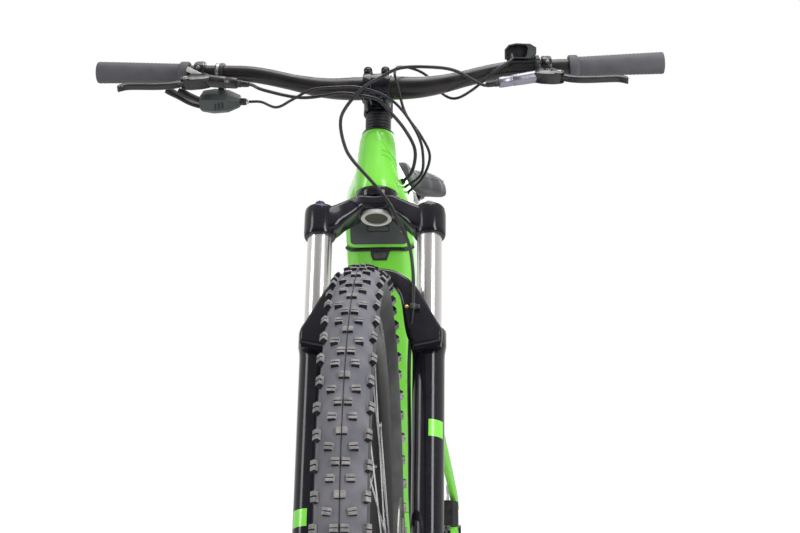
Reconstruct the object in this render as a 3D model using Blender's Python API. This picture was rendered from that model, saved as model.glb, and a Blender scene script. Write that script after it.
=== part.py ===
"""Electric mountain bike: a hardtail with a mid motor and a battery held under its down tube.

Metres, +Z up. The origin is on the ground midway between the wheels, the bike faces -Y
and the rider's left is +X. Each piece is built in the frame of its joint or its carrier.
"""

import math

import bmesh
import bpy
from mathutils import Matrix, Vector

# Clearances
FIT = 0.0003  # between faces that seat on each other
RUNNING_FIT = 0.0004  # between faces that turn or slide on each other

# Chassis geometry
WHEELBASE = 1.170
WHEEL_RADIUS = 0.370
HEAD_ANGLE = math.radians(68)
SEAT_ANGLE = math.radians(74)
CHAINSTAY = 0.470
CRANK_DROP = 0.055
FORK_LENGTH = 0.530  # axle to crown race, along the steering axis
FORK_OFFSET = 0.048

# Head tube and headset, heights along the steering axis above the crown race
HEAD_BOTTOM = 0.013
HEAD_TOP = 0.105
HEAD_BELLY_RADIUS = 0.030
HEAD_TOP_RADIUS = 0.0225
STEERER_RADIUS = 0.0143
STEERER_FOOT_RADIUS = 0.0199
COVER_HEIGHT = 0.0065
SPACER_STACK = 0.026
SPACER_RADIUS = 0.0175
HEAD_SIDES = 16

# Frame tubes
DOWN_TUBE_HALF_WIDTH = 0.046
DOWN_TUBE_HALF_DEPTH = 0.039
DOWN_TUBE_JOIN = 0.060  # on the steering axis
TOP_TUBE_JOIN = 0.080
SEAT_TUBE_LENGTH = 0.455
SEAT_TUBE_RADIUS = 0.0178
SEATPOST_RADIUS = 0.01545
POST_SIDES = 16
TOP_TUBE_DROP = 0.053  # below the seat tube's top
STAY_RADIUS = 0.0085
REAR_SPACING = 0.148
DROPOUT_THICKNESS = 0.008
CRADLE_HALF_WIDTH = 0.040

# Battery bay, distances along the down tube from the steering axis
BAY_START = 0.105
BAY_END = 0.555
BATTERY_HALF_WIDTH = 0.0375
BATTERY_TOP = 0.0290
BAY_LIP = 0.0170
BATTERY_END_ROOM = 0.009
COVER_SEAM = 0.0045
CAP_START = 0.064
CAP_END = 0.098
CAP_HALF_WIDTH = 0.0385
CAP_DEPTH = 0.0040
LATCH_HALF_WIDTH = 0.0125
LATCH_LENGTH = 0.0150
LATCH_TRAVEL = 0.004
LATCH_FLOOR = 0.026

# Motor
MOTOR_HALF_WIDTH = 0.0385
MOTOR_RADIUS = 0.062
MOTOR_FORWARD = 0.055
MOTOR_RISE = 0.012
GEARBOX_RADIUS = 0.052
MOTOR_BORE = 0.0110

# Wheels
RING_SIDES = 28
HUB_SIDES = 16
TYRE_HALF_WIDTH = 0.030
BEAD_RADIUS = 0.3100
RIM_EDGE_RADIUS = 0.3165
RIM_INNER_RADIUS = 0.2940
RIM_HALF_WIDTH = 0.0170
BEAD_HALF_WIDTH = 0.0140
TREAD_FLAT = 0.0115
SPOKES = 28
SPOKE_HALF = 0.0011
FRONT_SPACING = 0.110
AXLE_RADIUS = 0.0075
ROTOR_RADIUS = 0.090
ROTOR_HALF = 0.0010
ROTOR_INSET = 0.0115  # from the hub's end face to the rotor's middle
ROTOR_SEAT = 0.0215  # hub radius that the rotor sits on
REAR_AXLE_RADIUS = 0.006
FREEHUB_RADIUS = 0.0150
CALIPER_OUTER_HALF = 0.021
CALIPER_INNER_HALF = 0.0152  # slimmer beside the spokes
CALIPER_LENGTH = 0.023
FRONT_CALIPER_ANGLE = math.radians(68)  # about the axle, back from the steering axis
REAR_CALIPER_ANGLE = math.radians(70)

# Fork
STANCHION_RADIUS = 0.0170
STANCHION_SPACING = 0.147
CROWN_OFFSET = 0.020
CROWN_SHOULDER_TOP = -0.012
CROWN_SHOULDER_BOTTOM = -0.070
CROWN_UNDERSIDE = -0.021
FORK_TRAVEL = 0.110
SEAL_ABOVE_AXLE = 0.333
LEG_RADIUS = 0.0205
COLLAR_RADIUS = 0.0225
DIAL_RADIUS = 0.0065
DIAL_HEIGHT = 0.010

# Cockpit
STEM_LENGTH = 0.040
STEM_HEIGHT = 0.038
FACEPLATE_RADIUS = 0.0208
FACEPLATE_HALF_WIDTH = 0.0180
BOLT_SIDE = 0.0118
BOLT_RISE = 0.0192
BOSS_RADIUS = 0.0058
BOSS_DEPTH = 0.0125
BAR_WIDTH = 0.780
BAR_RISE = 0.036
BAR_SWEEP = 0.040
BAR_CLAMP_RADIUS = 0.0159
BAR_RADIUS = 0.0111
GRIP_LENGTH = 0.130
GRIP_RADIUS = 0.0142
LEVER_DROP = math.radians(32)  # lever plane below the horizontal
CONTROL_GAP = {1: 0.031, -1: 0.017}  # from the left and right grips to the brake clamps
LEVER_PIVOT = (0.013, -0.035)  # in the control frame
LEVER_THICK = 0.0050
CYLINDER_END = (-0.060, -0.036)
PADDLE_PIVOT = (-0.008, -0.012)
REMOTE_BUTTON = (-0.033, 0.0110, 0.0215)
BUTTON_TRAVEL = 0.0015

# Drivetrain
CRANK_LENGTH = 0.170
CHAIN_PITCH = 0.0127
CHAINRING_TEETH = 38
COG_TEETH = (36, 32, 28, 24, 21, 18, 15, 13, 11)
COG_PITCH = 0.00435
COG_HALF = 0.0008
CASSETTE_START = -0.0350
CHAIN_COG = 3
PULLEY_TEETH = 11
TIP_BELOW_PITCH = 0.0022
CHAIN_HALF_WIDTH = 0.0027
CHAIN_HALF_HEIGHT = 0.0035
SPINDLE_RADIUS = 0.0100
SPINDLE_SIDES = 16
PEDAL_HALF = 0.048
PEDAL_OUT = 0.190

# Hoses and cables
HOSE_RADIUS = 0.0025
CABLE_RADIUS = 0.0021

# Saddle
SADDLE_WIDTH = 0.144
RAIL_SPACING = 0.044
RAIL_RADIUS = 0.0035
POST_LENGTH = 0.400
POST_TOP = 0.642  # clamp centre, along the seat tube from the crank axis

# Points of the chassis, in its mid plane
REAR_AXLE = Vector((0, WHEELBASE / 2, WHEEL_RADIUS))
FRONT_AXLE = Vector((0, -WHEELBASE / 2, WHEEL_RADIUS))
CRANK_BACK = math.sqrt(CHAINSTAY**2 - CRANK_DROP**2)
CRANK_AXIS = REAR_AXLE + Vector((0, -CRANK_BACK, -CRANK_DROP))
STEER_UP = Vector((0, math.cos(HEAD_ANGLE), math.sin(HEAD_ANGLE)))
STEER_FORWARD = Vector((0, -math.sin(HEAD_ANGLE), math.cos(HEAD_ANGLE)))
CROWN_RACE = FRONT_AXLE + STEER_UP * FORK_LENGTH - STEER_FORWARD * FORK_OFFSET
SEAT_UP = Vector((0, math.cos(SEAT_ANGLE), math.sin(SEAT_ANGLE)))
MOTOR_AXIS = CRANK_AXIS + Vector((0, -MOTOR_FORWARD, MOTOR_RISE))
DOWN_TUBE_TOP = CROWN_RACE + STEER_UP * DOWN_TUBE_JOIN
DOWN_TUBE_FOOT = CRANK_AXIS + Vector((0, -0.083, 0.080))
DOWN_TUBE_LENGTH = (DOWN_TUBE_FOOT - DOWN_TUBE_TOP).length

# Stations worked out from the sizes above
COVER_BASE = HEAD_TOP + FIT
SPACER_BASE = COVER_BASE + COVER_HEIGHT + FIT
STEM_BASE = SPACER_BASE + SPACER_STACK + FIT
STEM_MIDDLE = STEM_BASE + STEM_HEIGHT / 2
TOP_TUBE_SEAT_JOIN = SEAT_TUBE_LENGTH - TOP_TUBE_DROP
SEAL_TOP = SEAL_ABOVE_AXLE - FORK_LENGTH
FORK_FOOT = -FORK_LENGTH
CONTROL_X = {side: BAR_WIDTH / 2 - GRIP_LENGTH - gap for side, gap in CONTROL_GAP.items()}
DROPOUT_X = REAR_SPACING / 2
CHAIN_LINE = CASSETTE_START - CHAIN_COG * COG_PITCH
HANGER_FACE = -DROPOUT_X - FIT - DROPOUT_THICKNESS + 0.001
GUIDE_PULLEY = REAR_AXLE + Vector((0, 0.012, -0.101))
TENSION_PULLEY = GUIDE_PULLEY + Vector((0, -0.028, -0.083))
STEP_ANGLE = 2 * math.pi / RING_SIDES

FINISHES = {
    "green_paint": ((0.17, 0.72, 0.09), 0.25, 0.0),
    "gloss_black": ((0.012, 0.012, 0.014), 0.15, 0.2),
    "anodised_black": ((0.03, 0.028, 0.028), 0.35, 0.6),
    "black_plastic": ((0.025, 0.025, 0.027), 0.5, 0.0),
    "grey_plastic": ((0.07, 0.08, 0.08), 0.5, 0.0),
    "rubber": ((0.06, 0.062, 0.066), 0.7, 0.0),
    "tyre_rubber": ((0.10, 0.10, 0.11), 0.85, 0.0),
    "chrome": ((0.80, 0.79, 0.77), 0.12, 1.0),
    "silver": ((0.62, 0.62, 0.63), 0.3, 1.0),
    "steel": ((0.45, 0.45, 0.46), 0.35, 1.0),
    "saddle_cover": ((0.09, 0.09, 0.10), 0.6, 0.0),
    "purple_anodised": ((0.08, 0.05, 0.25), 0.3, 0.7),
    "brake_grey": ((0.30, 0.30, 0.31), 0.3, 0.8),
}


# Scene helpers


def clear_scene():
    for item in list(bpy.data.objects):
        bpy.data.objects.remove(item, do_unlink=True)


def finish(name):
    material = bpy.data.materials.get(name)
    if material:
        return material
    colour, roughness, metallic = FINISHES[name]
    material = bpy.data.materials.new(name)
    material.use_nodes = True
    shader = material.node_tree.nodes["Principled BSDF"]
    shader.inputs["Base Color"].default_value = (*colour, 1)
    shader.inputs["Roughness"].default_value = roughness
    shader.inputs["Metallic"].default_value = metallic
    return material


def anchor(name, location=(0, 0, 0), rotation=None, parent=None):
    """An empty that carries the pieces of one body or one joint."""
    empty = bpy.data.objects.new(name, None)
    bpy.context.scene.collection.objects.link(empty)
    empty.parent = parent
    turn = rotation.to_4x4() if rotation else Matrix.Identity(4)
    empty.matrix_basis = Matrix.Translation(location) @ turn
    return empty


def add_object(name, mesh_data, parent):
    item = bpy.data.objects.new(name, mesh_data)
    bpy.context.scene.collection.objects.link(item)
    item.parent = parent
    return item


def piece(name, bm, carrier, look, sharp=32):
    """One solid of the bike, from a closed bmesh in its carrier's frame."""
    bm.normal_update()
    bmesh.ops.recalc_face_normals(bm, faces=bm.faces)
    mesh = bpy.data.meshes.new(name)
    bm.to_mesh(mesh)
    bm.free()
    mesh.shade_smooth()
    mesh.set_sharp_from_angle(angle=math.radians(sharp))
    mesh.materials.append(finish(look))
    return add_object(name, mesh, carrier)


def helper(name, bm, carrier):
    """A hidden operand for a Boolean."""
    item = piece(name, bm, carrier, "steel")
    item.hide_render = True
    item.display_type = "WIRE"
    item.hide_set(True)
    return item


def combine(target, operation, bm, label):
    """Joins a closed bmesh to the target, or cuts it away, in the target's frame."""
    tool = helper(f"{target.name}_{label}", bm, target.parent)
    modifier = target.modifiers.new(label, "BOOLEAN")
    modifier.operation = operation
    modifier.solver = "EXACT"
    modifier.object = tool
    return target


def join(target, bm, label):
    return combine(target, "UNION", bm, label)


def cut(target, bm, label):
    return combine(target, "DIFFERENCE", bm, label)


# Outlines and solids


def circle(radius, sides, start=0.0):
    steps = [start + 2 * math.pi * i / sides for i in range(sides)]
    return [(radius * math.cos(a), radius * math.sin(a)) for a in steps]


def oval(half_width, half_height, sides):
    return [(x * half_width, y * half_height) for x, y in circle(1, sides)]


def arc(centre, radius, start, end, steps):
    """Points on an arc from start to end, in degrees."""
    turns = [math.radians(start + (end - start) * i / steps) for i in range(steps + 1)]
    return [(centre[0] + radius * math.cos(a), centre[1] + radius * math.sin(a)) for a in turns]


def rounded_box(half_width, half_height, radius, steps=2):
    """A rectangle with round corners, counter-clockwise."""
    x = half_width - radius
    y = half_height - radius
    corners = ((x, y, 0), (-x, y, 90), (-x, -y, 180), (x, -y, 270))
    return [p for cx, cy, a in corners for p in arc((cx, cy), radius, a, a + 90, steps)]


def loft(rings, closed=False):
    """A solid through rings of equal count, capped at both ends or closed on itself."""
    bm = bmesh.new()
    loops = [[bm.verts.new(point) for point in ring] for ring in rings]
    pairs = list(zip(loops, loops[1:]))
    if closed:
        pairs.append((loops[-1], loops[0]))
    else:
        bm.faces.new(list(reversed(loops[0])))
        bm.faces.new(loops[-1])
    for near, far in pairs:
        for i, corner in enumerate(near):
            j = (i + 1) % len(near)
            bm.faces.new((corner, near[j], far[j], far[i]))
    bmesh.ops.recalc_face_normals(bm, faces=bm.faces)
    return bm


def moved(bm, matrix):
    bm.transform(matrix)
    return bm


def along_x(bm, x=0.0):
    """Turns a solid made about +Z so that it lies about +X."""
    return moved(bm, Matrix.Translation((x, 0, 0)) @ Matrix.Rotation(math.pi / 2, 4, "Y"))


def turned(profile, sides=24, start=0.0):
    """A solid of revolution about +Z through (radius, height) points, capped flat."""
    rings = [[(x, y, height) for x, y in circle(radius, sides, start)] for radius, height in profile]
    return loft(rings)


def hoop(section, sides=24, start=0.0):
    """A ring about +Z whose closed section is (radius, height) points."""
    rings = []
    for i in range(sides):
        a = start + 2 * math.pi * i / sides
        rings.append([(r * math.cos(a), r * math.sin(a), z) for r, z in section])
    return loft(rings, closed=True)


def collar(inner, outer, low, high, sides=24):
    return hoop([(inner, low), (outer, low), (outer, high), (inner, high)], sides)


def prism(outline, low, high):
    """An outline in the XY plane, extruded from low to high."""
    return loft([[(x, y, low) for x, y in outline], [(x, y, high) for x, y in outline]])


def side_plate(outline, low, high):
    """An outline of (y, z) points extruded along X from low to high."""
    return loft([[(low, y, z) for y, z in outline], [(high, y, z) for y, z in outline]])


def box(low, high):
    return side_plate([(low[1], low[2]), (high[1], low[2]), (high[1], high[2]), (low[1], high[2])],
                      low[0], high[0])


def swept(stations, across=Vector((1, 0, 0))):
    """A solid along (point, section) stations; a section's first axis keeps close to across."""
    rings = []
    points = [Vector(point) for point, _ in stations]
    for i, (_, section) in enumerate(stations):
        ahead = points[min(i + 1, len(points) - 1)]
        behind = points[max(i - 1, 0)]
        along = (ahead - behind).normalized()
        first = (across - along * across.dot(along)).normalized()
        second = along.cross(first)
        rings.append([points[i] + first * a + second * b for a, b in section])
    return loft(rings)


def rod(start, end, radius, sides=10, end_radius=None):
    sections = (circle(radius, sides), circle(end_radius or radius, sides))
    way = Vector(end) - Vector(start)
    across = Vector((1, 0, 0)) if abs(way.x) < 0.9 * way.length else Vector((0, 1, 0))
    return swept(list(zip((start, end), sections)), across)


def smooth_route(points, step):
    """Points about one step apart on a smooth curve through the given points."""
    points = [Vector(p) for p in points]
    padded = [2 * points[0] - points[1], *points, 2 * points[-1] - points[-2]]
    route = []
    for a, b, c, d in zip(padded, padded[1:], padded[2:], padded[3:]):
        count = max(1, round((c - b).length / step))
        for i in range(count):
            t = i / count
            route.append(0.5 * (2 * b + (c - a) * t + (2 * a - 5 * b + 4 * c - d) * t**2
                                + (3 * b - a - 3 * c + d) * t**3))
    return [*route, points[-1]]


def cable(name, points, radius, carrier, step=0.036, sides=5):
    """A hose or cable: a round section along a smooth route, without twist."""
    route = smooth_route(points, step)
    way = (route[1] - route[0]).normalized()
    first = way.orthogonal().normalized()
    rings = []
    for i, point in enumerate(route):
        ahead = route[min(i + 1, len(route) - 1)]
        behind = route[max(i - 1, 0)]
        way = (ahead - behind).normalized()
        first = (first - way * first.dot(way)).normalized()
        second = way.cross(first)
        rings.append([point + first * a + second * b for a, b in circle(radius, sides)])
    return piece(name, loft(rings), carrier, "black_plastic", sharp=60)


# Frames of the tubes

STEER = Matrix.Translation(CROWN_RACE) @ Matrix.Rotation(HEAD_ANGLE - math.pi / 2, 4, "X")
SEAT = Matrix.Translation(CRANK_AXIS) @ Matrix.Rotation(SEAT_ANGLE - math.pi / 2, 4, "X")
DOWN_WAY = (DOWN_TUBE_FOOT - DOWN_TUBE_TOP).normalized()
DOWN_OUT = DOWN_WAY.cross(Vector((1, 0, 0)))  # away from the rider, towards the front tyre
DOWN_TURN = Matrix(((1, 0, 0), DOWN_OUT, DOWN_WAY)).transposed()
DOWN = Matrix.Translation(DOWN_TUBE_TOP) @ DOWN_TURN.to_4x4()


def mirrored(point, side):
    return Vector((point[0] * side, point[1], point[2]))


# Frame


def down_tube():
    """Narrow at the head tube, then the battery's full width; flat faces, round edges."""
    stations = (
        (-0.004, 0.024, 0.034, 0.016),
        (0.030, 0.036, 0.037, 0.017),
        (0.060, DOWN_TUBE_HALF_WIDTH, DOWN_TUBE_HALF_DEPTH, 0.017),
        (BAY_END, DOWN_TUBE_HALF_WIDTH, DOWN_TUBE_HALF_DEPTH, 0.017),
        (DOWN_TUBE_LENGTH, 0.041, DOWN_TUBE_HALF_DEPTH, 0.016),
    )
    rings = [[(x, y, w) for x, y in rounded_box(a, b, r)] for w, a, b, r in stations]
    return moved(loft(rings), DOWN)


def battery_bay():
    """The channel that the battery lies in, open towards the ground."""
    half = BATTERY_HALF_WIDTH + 2 * FIT
    roof = -BATTERY_TOP - 2 * FIT
    wide = DOWN_TUBE_HALF_WIDTH + 0.010
    deep = DOWN_TUBE_HALF_DEPTH + 0.010
    outline = [(-half, roof), (half, roof), (half, BAY_LIP), (wide, BAY_LIP),
               (wide, deep), (-wide, deep), (-wide, BAY_LIP), (-half, BAY_LIP)]
    return moved(prism(outline, BAY_START, BAY_END), DOWN)


def head_tube():
    outside = [(HEAD_BELLY_RADIUS - 0.001, HEAD_BOTTOM - 0.003), (HEAD_BELLY_RADIUS, 0.030),
               (0.0280, 0.055),
               (0.0262, 0.084), (0.0245, 0.097), (HEAD_TOP_RADIUS, HEAD_TOP)]
    return moved(turned(outside, HEAD_SIDES), STEER)


def head_bore():
    """The cup seats at both ends and the narrower bore between them."""
    cup_top = HEAD_TOP_RADIUS - 0.002
    steps = [(0.0262, HEAD_BOTTOM - 0.010), (0.0262, HEAD_BOTTOM + 0.012), (0.0215, HEAD_BOTTOM + 0.014),
             (0.0185, HEAD_BOTTOM + 0.045), (0.0185, HEAD_TOP - 0.010), (cup_top, HEAD_TOP - 0.009),
             (cup_top, HEAD_TOP + 0.010)]
    return moved(turned(steps, HEAD_SIDES), STEER)


def top_tube():
    start = STEER @ Vector((0, 0, TOP_TUBE_JOIN))
    end = SEAT @ Vector((0, 0, TOP_TUBE_SEAT_JOIN))
    stations = [(start, oval(0.021, 0.023, 10)), (start.lerp(end, 0.08), oval(0.024, 0.022, 10)),
                (start.lerp(end, 0.5), oval(0.025, 0.019, 10)), (end, oval(0.0165, 0.0165, 10))]
    return swept(stations)


def motor_outline(grow):
    """The motor seen from its side: a big circle for the motor, a smaller one for the gears."""
    motor = (MOTOR_AXIS.y, MOTOR_AXIS.z)
    gears = (CRANK_AXIS.y, CRANK_AXIS.z)
    return arc(motor, MOTOR_RADIUS + grow, 78, 262, 10) + arc(gears, GEARBOX_RADIUS + grow, -82, 62, 8)


def cradle():
    """The bridge over the motor that joins the down tube, the seat tube and the chainstays."""
    motor = (MOTOR_AXIS.y, MOTOR_AXIS.z)
    gears = (CRANK_AXIS.y, CRANK_AXIS.z)
    room = 0.0015
    y = CRANK_AXIS.y
    z = CRANK_AXIS.z
    inner = arc(motor, MOTOR_RADIUS + room, 152, 62, 5) + arc(gears, GEARBOX_RADIUS + room, 58, -32, 4)
    outer = [(y + 0.060, z - 0.032), (y + 0.080, z - 0.018), (y + 0.086, z + 0.012),
             (y + 0.068, z + 0.050), (y + 0.050, z + 0.100), (y + 0.015, z + 0.125),
             (y - 0.050, z + 0.120), (y - 0.100, z + 0.130), (y - 0.126, z + 0.090)]
    return side_plate(inner + outer, -CRADLE_HALF_WIDTH, CRADLE_HALF_WIDTH)


def chainstay(side):
    way = [CRANK_AXIS + mirrored((0.030, 0.066, -0.003), side),
           CRANK_AXIS + mirrored((0.0425, 0.117, 0.003), side),
           CRANK_AXIS + mirrored((0.052, 0.212, 0.016), side),
           REAR_AXLE + mirrored((DROPOUT_X - 0.0005, -0.115, -0.020), side),
           REAR_AXLE + mirrored((DROPOUT_X + 0.004, -0.048, -0.012), side)]
    tall = oval(STAY_RADIUS, STAY_RADIUS + 0.004, 8)
    small = oval(STAY_RADIUS - 0.001, STAY_RADIUS, 8)
    return swept(list(zip(way, (tall, tall, tall, small, small))))


def seatstay(side):
    way = [SEAT @ Vector((0.010 * side, 0.004, SEAT_TUBE_LENGTH - 0.050)),
           REAR_AXLE + mirrored((0.038, -0.297, 0.288), side),
           REAR_AXLE + mirrored((0.046, -0.240, 0.230), side),
           REAR_AXLE + mirrored((DROPOUT_X - 0.0015, -0.085, 0.082), side),
           REAR_AXLE + mirrored((DROPOUT_X + 0.004, -0.036, 0.040), side)]
    return swept([(point, circle(STAY_RADIUS - 0.001, 8)) for point in way])


def dropout(side):
    y = REAR_AXLE.y
    z = REAR_AXLE.z
    rear = arc((y, z), 0.019, -110, 70, 5)
    outline = [(y - 0.058, z - 0.022), *rear, (y - 0.010, z + 0.046), (y - 0.044, z + 0.056),
               (y - 0.036, z + 0.020), (y - 0.060, z + 0.002)]
    inside = DROPOUT_X + FIT
    ends = sorted((inside * side, (inside + DROPOUT_THICKNESS) * side))
    return side_plate(outline, *ends)


def hanger():
    """The tab under the right dropout that carries the derailleur."""
    y = REAR_AXLE.y
    z = REAR_AXLE.z
    outline = [(y - 0.012, z - 0.012), *arc((y + 0.012, z - 0.030), 0.010, 190, 380, 6),
               (y + 0.012, z - 0.008)]
    return side_plate(outline, HANGER_FACE, HANGER_FACE + 0.005)


def rear_caliper_place():
    """Over the left chainstay: X along the axle, Z out from it."""
    centre = REAR_AXLE + Vector((DROPOUT_X - ROTOR_INSET, 0, 0))
    turn = Matrix.Rotation(REAR_CALIPER_ANGLE, 4, "X")
    return Matrix.Translation(centre) @ turn @ Matrix.Translation((0, 0, ROTOR_RADIUS - 0.008))


def stay_bridge():
    ends = [REAR_AXLE + mirrored((0.038, -0.297, 0.288), side) for side in (-1, 1)]
    return rod(*ends, 0.0065, 8)


def cap_pocket():
    half = CAP_HALF_WIDTH + FIT
    return moved(box((-half, DOWN_TUBE_HALF_DEPTH - CAP_DEPTH - FIT, CAP_START - FIT),
                     (half, DOWN_TUBE_HALF_DEPTH + 0.010, CAP_END + FIT)), DOWN)


def build_frame(root):
    frame = piece("frame", head_tube(), root, "green_paint")
    join(frame, down_tube(), "down_tube")
    join(frame, top_tube(), "top_tube")
    seat_tube = turned([(SEAT_TUBE_RADIUS, 0.070), (SEAT_TUBE_RADIUS, SEAT_TUBE_LENGTH)], POST_SIDES)
    join(frame, moved(seat_tube, SEAT), "seat_tube")
    join(frame, cradle(), "cradle")
    for side, word in ((1, "left"), (-1, "right")):
        join(frame, chainstay(side), f"{word}_chainstay")
        join(frame, seatstay(side), f"{word}_seatstay")
        join(frame, dropout(side), f"{word}_dropout")
    join(frame, stay_bridge(), "bridge")
    join(frame, hanger(), "hanger")
    end = -CALIPER_LENGTH - FIT
    join(frame, moved(box((0.008, end - 0.013, -0.008), (0.020, end, 0.012)), rear_caliper_place()),
         "brake_boss")
    cut(frame, head_bore(), "head_bore")
    cut(frame, battery_bay(), "battery_bay")
    cut(frame, moved(turned([(0.0345, -0.050), (0.0345, HEAD_BOTTOM)], 20, 0.05), STEER),
        "lower_cup_room")
    cut(frame, cap_pocket(), "cap_pocket")
    post = SEATPOST_RADIUS + FIT
    cut(frame, moved(turned([(post, 0.085), (post, SEAT_TUBE_LENGTH + 0.010)], POST_SIDES), SEAT),
        "post_bore")
    axle = moved(along_x(turned([(REAR_AXLE_RADIUS + FIT, -0.1), (REAR_AXLE_RADIUS + FIT, 0.1)], 12)),
                 Matrix.Translation(REAR_AXLE))
    cut(frame, axle, "axle_bore")
    return frame


def build_down_tube_cap(root):
    """The dark cover over the battery's lock, with its shallow recess."""
    outline = rounded_box(CAP_HALF_WIDTH, (CAP_END - CAP_START) / 2, 0.005)
    top = DOWN_TUBE_HALF_DEPTH + 0.0008
    middle = (CAP_START + CAP_END) / 2
    plate = [[(x, v, middle + w) for x, w in outline] for v in (DOWN_TUBE_HALF_DEPTH - CAP_DEPTH, top)]
    cap = piece("down_tube_cap", moved(loft(plate), DOWN), root, "grey_plastic")
    recess = box((-0.0185, top - 0.0022, CAP_START + 0.007), (0.0185, top + 0.005, CAP_START + 0.018))
    cut(cap, moved(recess, DOWN), "recess")


def build_motor(root):
    shell = side_plate(motor_outline(0), -MOTOR_HALF_WIDTH, MOTOR_HALF_WIDTH)
    motor = piece("motor_unit", shell, root, "black_plastic")
    bevel = motor.modifiers.new("edges", "BEVEL")
    bevel.width = 0.004
    bevel.segments = 1
    bevel.limit_method = "ANGLE"
    bore = along_x(turned([(MOTOR_BORE, -0.1), (MOTOR_BORE, 0.1)], 16))
    cut(motor, moved(bore, Matrix.Translation(CRANK_AXIS)), "spindle_bore")


def build_battery(root):
    hinge = anchor("battery_hinge", DOWN @ Vector((0, DOWN_TUBE_HALF_DEPTH, BAY_END)),
                   DOWN_TURN, root)
    lift = -DOWN_TUBE_HALF_DEPTH
    start = BAY_START - BAY_END
    low = BATTERY_HALF_WIDTH
    pack_outline = rounded_box(low, (BATTERY_TOP + BAY_LIP) / 2, 0.006, 1)
    middle = lift + (BAY_LIP - BATTERY_TOP) / 2
    pack = [[(x, y + middle, w) for x, y in pack_outline] for w in (start + BATTERY_END_ROOM,
                                                                    -COVER_SEAM)]
    piece("battery_pack", loft(pack), hinge, "black_plastic")
    x = DOWN_TUBE_HALF_WIDTH
    base = BAY_LIP + FIT
    corner = 0.017
    y = DOWN_TUBE_HALF_DEPTH - corner
    round_edge = arc((x - corner, y), corner, 0, 90, 3)
    shell = [(x, base), *round_edge, *[(-a, b) for a, b in reversed(round_edge)], (-x, base)]
    ends = (start + COVER_SEAM, -0.001)
    cover = piece("battery_cover", loft([[(a, b + lift, w) for a, b in shell] for w in ends]), hinge,
                  "green_paint")
    notch_half = LATCH_HALF_WIDTH + FIT
    notch = box((-notch_half, lift + LATCH_FLOOR - FIT, start),
                (notch_half, 0.010, start + COVER_SEAM + LATCH_LENGTH + LATCH_TRAVEL + FIT))
    cut(cover, notch, "latch_notch")
    begin = start + COVER_SEAM + FIT
    tab = loft([[(x, y, w) for x, w in ((-LATCH_HALF_WIDTH, begin), (LATCH_HALF_WIDTH, begin),
                                        (LATCH_HALF_WIDTH - 0.003, begin + LATCH_LENGTH),
                                        (0.003 - LATCH_HALF_WIDTH, begin + LATCH_LENGTH))]
                for y in (lift + LATCH_FLOOR, -0.0005)])
    piece("battery_latch", tab, hinge, "black_plastic")


def build_headset(root):
    lower = [(STEERER_FOOT_RADIUS + RUNNING_FIT, 0.0004), (0.0275, 0.0004), (0.0285, 0.006),
             (0.0285, HEAD_BOTTOM - FIT), (0.0258, HEAD_BOTTOM - FIT), (0.0258, HEAD_BOTTOM + 0.011),
             (STEERER_FOOT_RADIUS + RUNNING_FIT, HEAD_BOTTOM + 0.011)]
    piece("headset_lower_cup", moved(hoop(lower, HEAD_SIDES), STEER), root, "gloss_black")
    cup = HEAD_TOP_RADIUS - 0.002 - FIT
    bore = STEERER_RADIUS + RUNNING_FIT
    cover = [(bore, HEAD_TOP - 0.0085), (cup, HEAD_TOP - 0.0085), (cup, COVER_BASE),
             (HEAD_TOP_RADIUS, COVER_BASE), (HEAD_TOP_RADIUS - 0.001, COVER_BASE + 0.003),
             (SPACER_RADIUS, COVER_BASE + COVER_HEIGHT), (bore, COVER_BASE + COVER_HEIGHT)]
    piece("headset_cover", moved(hoop(cover, HEAD_SIDES), STEER), root, "black_plastic")


# Fork


def clear_bore(radius, sides, gap=FIT):
    """Corner radius of a faceted bore whose flats keep the gap to a round piece."""
    return (radius + gap) / math.cos(math.pi / sides)


def leg_place(side):
    return Matrix.Translation((STANCHION_SPACING / 2 * side, -CROWN_OFFSET, 0))


def crown_arms():
    half = STANCHION_SPACING / 2
    stations = ((half, -CROWN_OFFSET, -0.046, 0.016, 0.018), (0.052, -0.016, -0.0325, 0.018, 0.0155),
                (0.026, -0.006, -0.0135, 0.024, 0.0105), (0, -0.001, -0.0105, 0.0265, 0.0100))
    whole = [*[(-x, y, z, a, b) for x, y, z, a, b in stations[:3]], *reversed(stations)]
    return swept([((x, y, z), rounded_box(a, b, 0.009, 1)) for x, y, z, a, b in whole], Vector((0, 1, 0)))


def build_crown(steering):
    top = STEM_BASE + STEM_HEIGHT - 0.003
    steerer = [(STEERER_FOOT_RADIUS, CROWN_UNDERSIDE), (STEERER_FOOT_RADIUS, 0.024),
               (STEERER_RADIUS, 0.060),
               (STEERER_RADIUS, top)]
    crown = piece("fork_crown", turned(steerer, HEAD_SIDES), steering, "gloss_black")
    join(crown, crown_arms(), "arms")
    for side, word in ((1, "left"), (-1, "right")):
        shoulder = [(0.0215, CROWN_SHOULDER_BOTTOM), (0.0232, CROWN_SHOULDER_BOTTOM + 0.008),
                    (0.0232, CROWN_SHOULDER_TOP - 0.010), (0.0200, CROWN_SHOULDER_TOP)]
        join(crown, moved(turned(shoulder, 16), leg_place(side)), f"{word}_shoulder")
        socket = STANCHION_RADIUS + FIT
        hole = [(socket, CROWN_SHOULDER_BOTTOM - 0.01), (socket, CROWN_SHOULDER_TOP - 0.010)]
        cut(crown, moved(turned(hole, 16), leg_place(side)), f"{word}_socket")
    cap = [(0.0100, CROWN_SHOULDER_TOP - 0.002), (0.0100, CROWN_SHOULDER_TOP + 0.0035)]
    join(crown, moved(turned(cap, 12), leg_place(1)), "air_cap")
    bore = [(0.0150, CROWN_UNDERSIDE - 0.01), (0.0150, 0.024), (0.0118, 0.060), (0.0118, top + 0.01)]
    cut(crown, turned(bore, HEAD_SIDES), "steerer_bore")


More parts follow.
